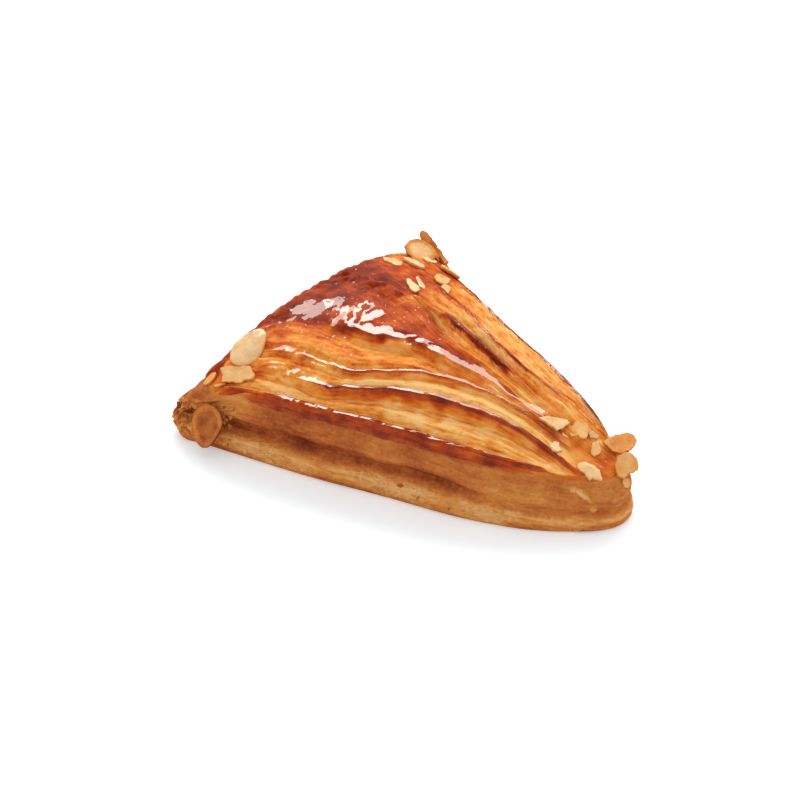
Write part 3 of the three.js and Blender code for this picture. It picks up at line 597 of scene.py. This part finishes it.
# Egg-glazed puff pastry: where the egg wash lies it is a hard, glassy, red-brown skin, and where a slash has
# opened or on the sides the dry layers show, pale cream to tan, streaked along their edges.
crust, tree, shader = new_material("egg_glazed_puff_pastry", {
    "Roughness": 0.55, "IOR": 1.45, "Specular IOR Level": 0.1, "Coat IOR": 2.6, "Coat Roughness": 0.04,
})
layer_map = add(tree, "UVMap", {}, uv_map="layers")
body = add(tree, "TexCoord", {}, "Object")
bake, bare_side, painted_crease_shade, beside_corner, browned_and_shaded_foot, lower_side, threads, pooled_wash = (
    add(tree, "Attribute", {}, "Fac", attribute_name=name)
    for name in ("bake", "bare", "crease", "open_corner", "foot", "lower", "threads", "pooled")
)
corner_shade = add(tree, "ValToRGB", {"Fac": beside_corner}, stops=[(0.0, 0.0), (0.5, 1.0), (0.95, 0.1)])
# Layer edges are 0.7 to 1.7 mm apart and run 7 to 25 mm, on a map with 100 mm to the unit.
long_streaks = add(tree, "Mapping", {"Vector": layer_map, "Scale": (4, 60, 1)})
streaks = add(tree, "TexNoise", {"Vector": long_streaks, "Scale": 1, "Detail": 3, "Roughness": 0.6})
short_streaks = add(tree, "Mapping", {"Vector": layer_map, "Scale": (14, 140, 1)})
fine_streaks = add(tree, "TexNoise", {"Vector": short_streaks, "Scale": 1, "Detail": 4, "Roughness": 0.6})
# Blotches of browning 8 mm wide.
blotches = add(tree, "TexNoise", {"Vector": body, "Scale": 130, "Detail": 4, "Roughness": 0.6})
streak_sum = add(tree, "Math", {0: streaks, 1: fine_streaks}, operation="ADD")
streak_shift = add(tree, "Math", {0: streak_sum, 1: 1.1, 2: -1.16}, operation="MULTIPLY_ADD")
paleness = add(tree, "Math", {0: 1.05, 1: bake}, operation="SUBTRACT")
streak_bake = add(tree, "Math", {0: streak_shift, 1: paleness, 2: bake}, operation="MULTIPLY_ADD")
blotch_shift = add(tree, "Math", {0: blotches, 1: 1.4, 2: -0.7}, operation="MULTIPLY_ADD")
blotch_room = add(tree, "Math", {0: paleness, 1: 0.35, 2: 0.42}, operation="MULTIPLY_ADD")
blotched = add(tree, "Math", {0: blotch_shift, 1: blotch_room, 2: streak_bake}, operation="MULTIPLY_ADD")
browned = add(tree, "Math", {0: threads, 1: -0.09, 2: blotched}, operation="MULTIPLY_ADD")
glaze_colour = add(tree, "ValToRGB", {"Fac": browned}, stops=[
    (0.0, "F3C07A"), (0.16, "EEA856"), (0.32, "E48C36"), (0.46, "D26E24"), (0.6, "BC4C14"), (0.78, "902C0E"),
    (1.0, "561205"),
])
# The lower half of the sides is in places a web of thin torn skins, 3 mm by 1 mm, over darker pits.
web_map = add(tree, "Mapping", {"Vector": layer_map, "Scale": (20, 56, 1)})
web_drift = add(tree, "TexNoise", {"Vector": web_map, "Scale": 1.1, "Detail": 4}, "Color")
web_bent = add(tree, "Mix", {"Factor": 0.45, "A": web_map, "B": web_drift}, 1, data_type="VECTOR")
web = add(tree, "TexVoronoi", {"Vector": web_bent, "Scale": 2.8}, feature="DISTANCE_TO_EDGE")
skins = add(tree, "ValToRGB", {"Fac": web}, stops=[(0.0, 1.0), (0.06, 0.6), (0.16, 0.0)])
torn = add(tree, "TexNoise", {"Vector": body, "Scale": 60, "Detail": 1})
torn_here = add(tree, "Math", {0: torn, 1: 6, 2: -2.6}, operation="MULTIPLY_ADD", use_clamp=True)
torn_low = add(tree, "Math", {0: torn_here, 1: lower_side}, operation="MULTIPLY")
low_skins = add(tree, "Math", {0: skins, 1: torn_low}, operation="MULTIPLY")
# Patches of browning 15 mm wide, and bits of 1 mm.
mottle = add(tree, "TexNoise", {"Vector": body, "Scale": 65, "Detail": 4, "Roughness": 0.55})
bits = add(tree, "TexNoise", {"Vector": body, "Scale": 750, "Detail": 2})
# The sides' colour, with painted shade darkening the crease round the waist.
side_mix = -0.2
for weight, level in (
    (0.55, mottle), (0.12, threads), (0.14, streaks), (0.24, fine_streaks), (0.24, bits), (0.27, lower_side),
    # The foot's darkening is partly browning and partly painted shade by the table.
    (0.28, low_skins), (-0.17, painted_crease_shade), (-0.24, browned_and_shaded_foot), (-0.16, corner_shade),
):
    side_mix = add(tree, "Math", {0: level, 1: weight, 2: side_mix}, operation="MULTIPLY_ADD")
side_colour = add(tree, "ValToRGB", {"Fac": side_mix}, stops=[
    (0.05, "642408"), (0.2, "90401A"), (0.36, "B8642E"), (0.5, "CC7E3A"), (0.62, "DA944C"), (0.78, "E8AE70"),
])
colour = add(tree, "Mix", {"Factor": bare_side}, 2, data_type="RGBA")
tree.links.new(glaze_colour, colour.node.inputs[6])
tree.links.new(side_colour, colour.node.inputs[7])
tree.links.new(colour, shader.inputs["Base Color"])
# Specks of thick wash 0.5 mm wide.
specks = add(tree, "TexNoise", {"Vector": body, "Scale": 900, "Detail": 1})
glints = add(tree, "ValToRGB", {"Fac": specks}, stops=[(0.7, 0.0), (0.73, 0.6), (1.0, 0.8)])
crisp_wash = add(tree, "ValToRGB", {"Fac": pooled_wash}, stops=[(0.0, 0.0), (0.42, 0.05), (0.62, 0.7)])
thick_wash = add(tree, "Math", {0: crisp_wash, 1: glints}, operation="MAXIMUM")
wash_here = add(tree, "Math", {0: 1, 1: bare_side}, operation="SUBTRACT")
wash_weight = add(tree, "Math", {0: thick_wash, 1: wash_here}, operation="MULTIPLY")
tree.links.new(wash_weight, shader.inputs["Coat Weight"])
# The dried wash is wrinkled every 2 mm, and the bare layers are crumbly.
wash = add(tree, "TexNoise", {"Vector": body, "Scale": 600, "Detail": 3, "Roughness": 0.5})
thin_wash = add(tree, "Math", {0: wash, 1: 0.35}, operation="MULTIPLY")
wash_height = add(tree, "Math", {0: streak_sum, 1: paleness, 2: thin_wash}, operation="MULTIPLY_ADD")
crumbly = add(tree, "TexNoise", {"Vector": body, "Scale": 420, "Detail": 4, "Roughness": 0.7})
side_height = add(tree, "Math", {0: crumbly, 1: 3.0, 2: streak_sum}, operation="MULTIPLY_ADD")
bare_height = add(tree, "Math", {0: side_height, 1: bare_side}, operation="MULTIPLY")
height = add(tree, "Math", {0: wash_height, 1: bare_height}, operation="ADD")
height = add(tree, "Math", {0: low_skins, 1: 1.6, 2: height}, operation="MULTIPLY_ADD")
bump = add(tree, "Bump", {"Height": height, "Strength": 0.6, "Distance": 0.0004})
tree.links.new(bump, shader.inputs["Normal"])
mesh.materials.append(crust)
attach(pastry, "root")
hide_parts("pastry")

# Flakes and crumbs. Where the dough was cut its layers fray, and small flakes of them stand off the open corner,
# with a few on the lower bulge of the long side. Each is 1 to 4 mm long and lies askew on the crust.
flaked, tree, shader = new_material("dry_flaked_pastry", {"Roughness": 0.8, "Specular IOR Level": 0.1})
tone = add(tree, "Attribute", {}, "Fac", attribute_name="tone")
flake_colour = add(tree, "ValToRGB", {"Fac": tone}, stops=[
    (0.0, "A85820"), (0.5, "C87A3A"), (1.0, "DC9A58"),
])
tree.links.new(flake_colour, shader.inputs["Base Color"])

flaky = smooth((sides[..., 2] - 2.6) / 1) * smooth((down - 0.2) / 0.15)
flaky = flaky * (0.03 * lower * front_side + smooth((near_corner - 0.42) / 0.3))
frayed = new_piece("frayed_flakes", points.tolist(), side_faces.tolist())
set_values(frayed.data, "flaky", np.concatenate([np.zeros(grid.size), flaky.ravel(), [0]]))
scatter = bpy.data.node_groups.new("scattered_flakes", "GeometryNodeTree")
scatter.interface.new_socket("Geometry", in_out="OUTPUT", socket_type="NodeSocketGeometry")
given_sockets = {"Crust": "Geometry", "Flakes per square metre": "Float", "Flake size": "Float", "Seed": "Int"}
for name, kind in given_sockets.items():
    scatter.interface.new_socket(name, in_out="INPUT", socket_type="NodeSocket" + kind)
given = scatter.nodes.new("NodeGroupInput").outputs
flakiness = add(scatter, "GeometryNodeInputNamedAttribute", {"Name": "flaky"}, data_type="FLOAT")
crowding = add(scatter, "Math", {0: flakiness, 1: given["Flakes per square metre"]}, operation="MULTIPLY")
spots = scatter.nodes.new("GeometryNodeDistributePointsOnFaces")
for name, value in (("Mesh", given["Crust"]), ("Density", crowding), ("Seed", given["Seed"])):
    scatter.links.new(value, spots.inputs[name])
shard = add(scatter, "GeometryNodeMeshCylinder", {"Vertices": 5, "Radius": 1, "Depth": 1})
leaning = add(scatter, "FunctionNodeRandomValue", {0: (-0.5, -0.5, -3.1), 1: (0.5, 0.5, 3.1), 8: 1},
              data_type="FLOAT_VECTOR")
askew = add(scatter, "FunctionNodeEulerToRotation", {0: leaning})
lie = add(scatter, "FunctionNodeRotateRotation", {0: spots.outputs["Rotation"], 1: askew}, rotation_space="LOCAL")
shape = add(scatter, "FunctionNodeRandomValue", {0: (0.5, 0.3, 0.12), 1: (1.8, 0.9, 0.3), 8: 2},
            data_type="FLOAT_VECTOR")
sized = add(scatter, "VectorMath", {0: shape, "Scale": given["Flake size"]}, operation="SCALE")
laid = add(scatter, "GeometryNodeInstanceOnPoints", {
    "Points": spots.outputs["Points"], "Instance": shard, "Rotation": lie, "Scale": sized,
})
shade = add(scatter, "FunctionNodeRandomValue", {8: 3}, 1, data_type="FLOAT")
toned = add(scatter, "GeometryNodeStoreNamedAttribute", {"Geometry": laid, "Name": "tone", "Value": shade},
            data_type="FLOAT", domain="INSTANCE")
real = add(scatter, "GeometryNodeRealizeInstances", {"Geometry": toned})
finished = add(scatter, "GeometryNodeSetMaterial", {"Geometry": real, "Material": flaked})
scatter.links.new(finished, scatter.nodes.new("NodeGroupOutput").inputs["Geometry"])
modifier = frayed.modifiers.new("scattered_flakes", "NODES")
modifier.node_group = scatter
sockets = {item.name: item.identifier for item in scatter.interface.items_tree if item.in_out == "INPUT"}
modifier[sockets["Flakes per square metre"]] = 5e5
modifier[sockets["Flake size"]] = scale
modifier[sockets["Seed"]] = 4
evaluated = frayed.evaluated_get(bpy.context.evaluated_depsgraph_get())
scattered = bpy.data.meshes.new_from_object(evaluated)
frayed.modifiers.remove(modifier)
frayed.data = scattered
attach(frayed, "root")

# The almonds. Sliced thin, toasted, and strewn on the three corners before baking, so that they lie in the
# glaze. Each loose slice has its middle, the way it faces, the direction of its length, its outline, how far its
# rim is dished, how toasted it is and how much more so in its middle. An outline is [length, width] where the
# slice is whole, or the [along, across] points of its broken edge.
LOOSE_SLICES = {
    "almond_front_1": [(-59.6, -36.2, 32.8), (-0.12, -0.52, 0.85), (0.03, 0.83, 0.55), [16.6, 13.2], -1.3, 0.1, 0],
    "almond_front_2": [(-55.3, -46, 27.5), (-0.1, -0.5, 0.86), (0.89, 0.3, 0.3), [
        (-7.8, 2.6), (-3.7, 3.2), (-1.4, 2.7), (4.4, 2.9), (8, -1.1), (7.6, -2.7), (4.2, -3), (3.3, -4.2),
        (-0.6, -3.7), (-5, -3.6), (-5.9, -0.5),
    ], 0.2, 0.2, 0],
    "almond_front_3": [(-57.4, -59.6, 11), (0.1, -0.85, 0.5), (0.2, -0.5, -0.85), [15.8, 12.8], 1, 0.5, 0.12],
    "almond_back_1": [(-55, 53.1, 34.6), (0.2, -0.3, 0.93), (0.7, 0.7, 0.13), [
        (-6, 2.6), (-3.8, 5.1), (-0.4, 5.6), (1.9, 4), (3.9, 1.9), (5.5, -0.8), (6.3, -3.4), (4.6, -5.6), (3.6, -7),
        (0.5, -7), (-0.9, -5.9), (-3.2, -4.5), (-4.6, -2.2), (-5.8, -0.3),
    ], 0.3, 0.4, -0.26],
    "almond_back_2": [(-55.3, 58.6, 33.9), (0.5, -0.45, 0.74), (-0.6, 0.1, 0.8), [
        (7.2, 0.2), (5.6, -1.4), (2.3, -2.2), (-1, -2.8), (-5, -2.2), (-6, 0), (-4, 2.2), (0, 2.6), (3, 1.8),
        (5.5, 1.7),
    ], 0.3, 0.48, 0],
    "almond_back_3": [(-50.6, 58.2, 31.4), (0.5, 0.2, 0.75), (-0.6, 0, 0.8), [
        (6.2, -0.4), (4.6, -2.6), (1.6, -3.4), (-2, -2.4), (-4.6, -1.6), (-4.2, 1.8), (-1.4, 3), (2, 2.4),
        (4.8, 1.6),
    ], 0.3, 0.52, 0],
    "almond_back_4": [(-46.6, 57.9, 28.6), (0.6, 0.7, 0.5), (-0.5, 0.1, 0.8), [9, 6.4], 0.3, 0.44, 0],
    "almond_back_5": [(-47.1, 40.6, 37.7), (0, 0.3, 0.95), (1, -0.08, 0.01), [
        (-5.6, -1), (-4.6, 1), (0.4, 1.4), (3.8, 1), (5.6, 0.2), (5.2, -1.4), (2, -1.9), (-2.4, -1.9),
    ], 0.1, 0.05, 0],
    "almond_back_6": [(-38.4, 50.2, 33.2), (0.1, 0.55, 0.83), (0.94, -0.25, -0.1), [
        (-6, 1.6), (-3, 2.4), (2, 1.8), (6.4, 0.6), (6.6, -1), (2, -1.7), (-3.6, -1.4),
    ], 0.2, 0.24, 0],
    "almond_tip_1": [(49.4, 2.6, 29.5), (0.38, -0.05, 0.92), (0.49, 0.86, -0.09), [
        (-5.8, 2.7), (-2.3, 2.8), (1.4, 1.9), (4.6, 0.6), (5.2, -0.8), (2.4, -2.4), (-0.5, -3.2), (-1.8, -1.6),
        (-3.6, 0.5),
    ], 0.2, 0.08, 0],
    "almond_tip_2": [(55.4, 9.1, 26.3), (0.3, -0.1, 0.94), (0.1, 0.98, 0.18), [
        (-5.2, 0.6), (-3.1, 2.2), (0.2, 3), (2.8, 2.2), (3.4, 0), (2.3, -2.2), (-0.4, -3.8), (-2.4, -4.3),
        (-3.6, -2.9), (-3.4, -1.8), (-5.4, -0.6),
    ], 0.3, 0.27, -0.04],
    "almond_tip_3": [(68.1, -1.5, 20.9), (0.3, -0.14, 0.94), (0.91, 0.29, -0.31), [
        (-5.1, -0.9), (-4.6, 1.5), (-2.7, 2.7), (-0.2, 2.7), (2.4, 1.9), (3.4, 1), (5, -1.1), (3.3, -2.1),
        (2, -2.4), (1.5, -3.6), (-1.2, -2), (-3.2, -1.7),
    ], -0.5, 0.1, 0],
    "almond_tip_4": [(67.8, 15.4, 21.6), (0.35, 0.05, 0.93), (0.3, 0.95, -0.12), [
        (-6.2, 2.5), (-3, 4), (0.9, 4.5), (6, 4.3), (7.8, 2.4), (7.4, 0), (4.9, -1.9), (1.7, -3.2), (-2.8, -3.4),
        (-4.8, -1.8), (-5.6, 0.8),
    ], 0.5, 0.38, 0.04],
    "almond_tip_5": [(74.6, 9.6, 19.2), (0.7, -0.1, 0.7), (-0.27, 0.85, 0.44), [
        (-1.7, 4.2), (1.6, 4.3), (4.4, 2.6), (5.6, 0.4), (5.4, -2.2), (4, -3.8), (1.6, -4.6), (-0.2, -3.5),
        (-0.9, -2.2), (-4.3, -0.6), (-4.6, 1.6), (-3.5, 3.2),
    ], 0.3, 0.28, 0.02],
}
SLICE_THICKNESS = 1.15
POINTEDNESS = 0.2
SLICE_SIDES = 80
SLICE_RINGS = [[0.35, 0.5], [0.6, 0.5], [0.8, 0.5], [0.92, 0.49], [0.97, 0.42], [0.992, 0.3], [1, 0.14]]


def outline_reach(angle, outline, seed):
    """How far out a slice's edge lies at each angle, in millimetres."""
    if np.ndim(outline) == 1:
        pointed = 1 - POINTEDNESS * np.cos(angle)
        reach = 0.5 / np.hypot(np.cos(angle) / outline[0], np.sin(angle) / (outline[1] * pointed))
        rough = 0.1
    else:
        corners = np.array(outline + outline[:1])
        steps = np.linspace(0, 1, 12, endpoint=False)[:, None, None]
        edge_points = (corners[:-1] * (1 - steps) + corners[1:] * steps).reshape(-1, 2)
        bearing = np.arctan2(edge_points[:, 1], edge_points[:, 0])
        order = np.argsort(bearing)
        reach = np.interp(angle, bearing[order], np.hypot(*edge_points[order].T), period=2 * math.pi)
        rough = 0.25
    return reach + rough * noise(reach * np.cos(angle) / 1.1, reach * np.sin(angle) / 1.1, seed)


def slice_points(at, facing, along_way, outline, dish, toasted, core, thickness, seed):
    """A thin slice: its points in millimetres, its faces, how near its edge each point is and how toasted."""
    angle = 2 * math.pi * np.arange(SLICE_SIDES) / SLICE_SIDES
    reach = outline_reach(angle, outline, seed)
    made, nearness = [], []
    for face in (1, -1):
        made.append(np.array([[0, 0, face * thickness / 2]]))
        nearness.append([0])
        for ring, height in SLICE_RINGS:
            u, v = reach * np.cos(angle) * ring, reach * np.sin(angle) * ring
            warp = 0.2 * noise(u / 4 + seed, v / 3, seed) + 0.06 * noise(u + seed, v, seed) + dish * ring * ring
            made.append(np.stack([u, v, face * height * thickness + warp], axis=-1))
            nearness.append([ring] * SLICE_SIDES)
    upper = 1 + np.arange(len(SLICE_RINGS) * SLICE_SIDES).reshape(-1, SLICE_SIDES)
    under_middle = upper.size + 1
    sheet = np.concatenate([upper, under_middle + upper[::-1]])
    sheet = np.concatenate([sheet, sheet[:, :1]], axis=1)
    first, last = sheet[0].tolist(), sheet[-1].tolist()
    faces = cells(sheet, True).tolist() + [[0, a, b] for a, b in zip(first, first[1:])]
    faces += [[under_middle, b, a] for a, b in zip(last, last[1:])]
    up = Vector(facing).normalized()
    side = up.cross(Vector(along_way)).normalized()
    turn = np.array([side.cross(up), side, up])
    nearness = np.concatenate(nearness)
    toasted = toasted + core * (1 - smooth((nearness - 0.6) / 0.2))
    return np.concatenate(made) @ turn + np.array(at), faces, nearness, toasted


def almond_piece(name, slices):
    """One piece of the slices, each given as its points, faces, edge nearness and toasting."""
    made, faces, edges, toasts = zip(*slices)
    starts = np.cumsum([0] + [len(part) for part in made]).tolist()
    joined = [[start + i for i in face] for start, found in zip(starts, faces) for face in found]
    result = new_piece(name, (np.concatenate(made) * scale).tolist(), joined)
    result.data.polygons.foreach_set("use_smooth", np.ones(len(joined), bool))
    set_values(result.data, "edge", np.concatenate(edges))
    set_values(result.data, "toast", np.concatenate(toasts))
    result.data.materials.append(almond)
    return result


# Toasted almond: a dry, waxy, close-grained flesh, cream inside and browner towards its cut edge.
almond, tree, shader = new_material("toasted_sliced_almond", {
    "Roughness": 0.5, "IOR": 1.46, "Specular IOR Level": 0.25, "Coat IOR": 2, "Coat Roughness": 0.06,
})
body = add(tree, "TexCoord", {}, "Object")
edge, toast = (add(tree, "Attribute", {}, "Fac", attribute_name=name) for name in ("edge", "toast"))
# Cells of the flesh, 0.5 mm, and clouds of browning, 4 mm.
grain = add(tree, "TexNoise", {"Vector": body, "Scale": 2000, "Detail": 2})
clouds = add(tree, "TexNoise", {"Vector": body, "Scale": 260, "Detail": 3})
rim_brown = add(tree, "Math", {0: edge, 1: 26}, operation="POWER")
rim_toast = add(tree, "Math", {0: rim_brown, 1: 0.2, 2: toast}, operation="MULTIPLY_ADD")
cloud_toast = add(tree, "Math", {0: clouds, 1: 0.36, 2: rim_toast}, operation="MULTIPLY_ADD")
grain_toast = add(tree, "Math", {0: grain, 1: 0.16, 2: cloud_toast}, operation="MULTIPLY_ADD")
almond_colour = add(tree, "ValToRGB", {"Fac": grain_toast}, stops=[
    (0.3, "F0CA98"), (0.44, "E8B476"), (0.6, "DF9848"), (0.76, "CB722A"), (0.9, "A0521E"), (1.0, "6A3214"),
])
tree.links.new(almond_colour, shader.inputs["Base Color"])
# The wash caught them in patches about 3 mm wide.
wash_patches = add(tree, "TexNoise", {"Vector": body, "Scale": 210, "Detail": 2})
washed = add(tree, "ValToRGB", {"Fac": wash_patches}, stops=[(0.52, 0.0), (0.57, 0.8), (1.0, 0.9)])
palest = add(tree, "ValToRGB", {"Fac": toast}, stops=[(0.14, 1.0), (0.28, 0.0), (1.0, 0.0)])
washed = add(tree, "Math", {0: washed, 1: palest}, operation="MULTIPLY")
tree.links.new(washed, shader.inputs["Coat Weight"])
bump = add(tree, "Bump", {"Height": grain_toast, "Strength": 0.35, "Distance": 0.0004})
tree.links.new(bump, shader.inputs["Normal"])

for seed, (name, placed) in enumerate(LOOSE_SLICES.items()):
    piece = almond_piece(name + "_slice", [slice_points(*placed, SLICE_THICKNESS, seed + 50)])
    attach(piece, "root")
    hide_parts(name)

# Chips of almond too small to lie loose, baked into the crust. Each has its place, its heading in degrees, its
# outline, and how toasted it is.
BAKED_CHIPS = [
    [(-58.8, -51.6), 0, [(-3.5, 0.1), (-1.2, 0.9), (1.2, 1.7), (2.8, 0.5), (1.4, -1.3), (-0.8, -1.7)], 0.34],
    [(-66, -49), 93, [6.4, 4.8], 0.3],
    [(-60, 47.5), -10, [(-3, 0.4), (-1, 1.6), (2, 1.4), (3.4, 0), (1.2, -1.4), (-1.6, -1.4)], 0.15],
    [(-54.3, 36), 0, [
        (-6.4, 1.6), (-3.8, 2), (-1.6, 2.6), (3.4, 2.1), (5.8, -1.7), (4.7, -3.1), (0.3, -1.9), (-2.5, -1.8),
    ], 0.12],
    [(-48.5, 51), 58, [(-2.8, 1), (-1, 2), (1.8, 1.8), (3, 0), (1.6, -1.8), (-1.4, -1.8)], 0.04],
    [(-32.3, 38.7), 0, [
        (-0.8, -4), (-3.3, 0.3), (-3.3, 3.3), (-1.9, 4.5), (0.7, 4.7), (3, 1), (4, -2.2), (3.7, -3.9), (1.7, -5.4),
    ], 0.16],
    [(-25.5, 33.5), 0, [(-3.9, 2.3), (-1.1, 3), (0.6, 2), (2.3, -1.2), (3.4, -4), (1.3, -3.8), (-1.4, -1.6)], 0.2],
    [(-31.7, 21.8), 0, [
        (-5.3, 2.6), (-4.6, 3.7), (-1.8, 2.2), (2, 0.8), (4.6, -1.6), (4.8, -4.2), (2.6, -3.8), (-2.3, -0.8),
    ], -0.06],
    [(-31.6, 25.9), 0, [
        (-4.2, 2.1), (-4, 3.3), (-0.2, 1.3), (3.6, -1.4), (3.8, -2.7), (1.7, -2.6), (-1.4, -0.4),
    ], 0.04],
    [(59.2, 11.5), 0, [(-1.8, -1), (-1.2, 1.2), (1.6, 1.4), (1.7, 0), (-0.3, -1.7)], 0.14],
    [(55, -4.2), 0, [
        (-1.9, -1.8), (-2.2, 1.6), (-1.2, 3.2), (0.3, 1.5), (2.1, 1.3), (1.6, -1.2), (0.3, -2.3),
    ], 0.06],
    [(63.5, 7.7), 0, [
        (0, -3.3), (-1.8, -1.2), (-2.4, 0.7), (-2.2, 3.4), (-0.3, 2.2), (1.5, 1.2), (2, -0.9), (1.5, -3.3),
    ], 0.2],
    [(75.2, 9.4), 100, [4.4, 3.4], 0.25],
]
CHIP_LIFT = 0.3
CHIP_THICKNESS = 0.9
crust_tree = BVHTree.FromPolygons(points.tolist(), top_faces.tolist() + side_faces.tolist())
chips = []
for seed, (place_xy, heading, outline, toasted) in enumerate(BAKED_CHIPS):
    above = Vector((place_xy[0] * scale, place_xy[1] * scale, 0.1))
    hit, facing, _, _ = crust_tree.ray_cast(above, Vector((0, 0, -1)))
    at = np.array(hit) / scale + CHIP_LIFT * np.array(facing)
    angle = math.radians(heading)
    way = (math.cos(angle), math.sin(angle), 0)
    chips.append(slice_points(at, facing, way, outline, 0, toasted, 0, CHIP_THICKNESS, seed + 80))
piece = almond_piece("baked_almond_chips", chips)
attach(piece, "root")

# The table, a plain pale surface, and soft studio light from two large boxes behind on the left, which the glaze
# mirrors. The sky is dim in mirrored rays and the table hidden from them, so that only the boxes glint.
floor = new_piece("floor", [(-3, -3, 0), (3, -3, 0), (3, 3, 0), (-3, 3, 0)], [(0, 1, 2, 3)])
# Matt board: it throws no glints, and its slight glow takes the place of the studio's bounced light.
board = new_material("matt_white_board", {
    "Base Color": linear("EEF4F7"), "Roughness": 0.9, "Emission Color": linear("F4F8FA"), "Emission Strength": 0.25,
})[0]
floor.data.materials.append(board)

target = Vector((-0.013, -0.0065, 0.015))
for name, azimuth, elevation, size, power in (
    ("softbox", -25, 43, (1.05, 0.55), 5.3),
    ("side_softbox", -58, 32, (0.5, 0.8), 3.2),
):
    data = bpy.data.lights.new(name, "AREA")
    data.shape = "RECTANGLE"
    data.size, data.size_y = size
    data.energy = power
    data.color = linear("FFFAF2")[:3]
    lamp = new_object(name, data)
    low, turned = math.radians(elevation), math.radians(azimuth)
    away = Vector((math.sin(turned) * math.cos(low), math.cos(turned) * math.cos(low), math.sin(low)))
    lamp.location = target + away
    lamp.rotation_euler = away.to_track_quat("Z", "Y").to_euler()

world = bpy.data.worlds.new("studio")
world.use_nodes = True
background = world.node_tree.nodes["Background"]
rays = add(world.node_tree, "LightPath", {}, "Is Glossy Ray")
strength = add(world.node_tree, "Math", {0: rays, 1: -0.8, 2: 0.86}, operation="MULTIPLY_ADD")
world.node_tree.links.new(strength, background.inputs["Strength"])
background.inputs["Color"].default_value = (1, 1, 1, 1)
floor.visible_glossy = False
bpy.context.scene.world = world
bpy.context.scene.view_settings.view_transform = "Standard"

# The camera, fitted to the outline and the foot line in the photograph: 41 degrees round from the long side,
# 35 degrees up and 0.68 m away, so that the near corners look a little larger.
AZIMUTH, ELEVATION, DISTANCE = math.radians(41.4), math.radians(35), 0.68
lens = bpy.data.cameras.new("camera")
lens.lens = 85
lens.sensor_width = 36
camera = new_object("camera", lens)
towards = Vector((math.sin(AZIMUTH) * math.cos(ELEVATION), -math.cos(AZIMUTH) * math.cos(ELEVATION),
                  math.sin(ELEVATION)))
camera.location = target + towards * DISTANCE
camera.rotation_euler = towards.to_track_quat("Z", "Y").to_euler()
bpy.context.scene.camera = camera

bpy.context.view_layer.update()
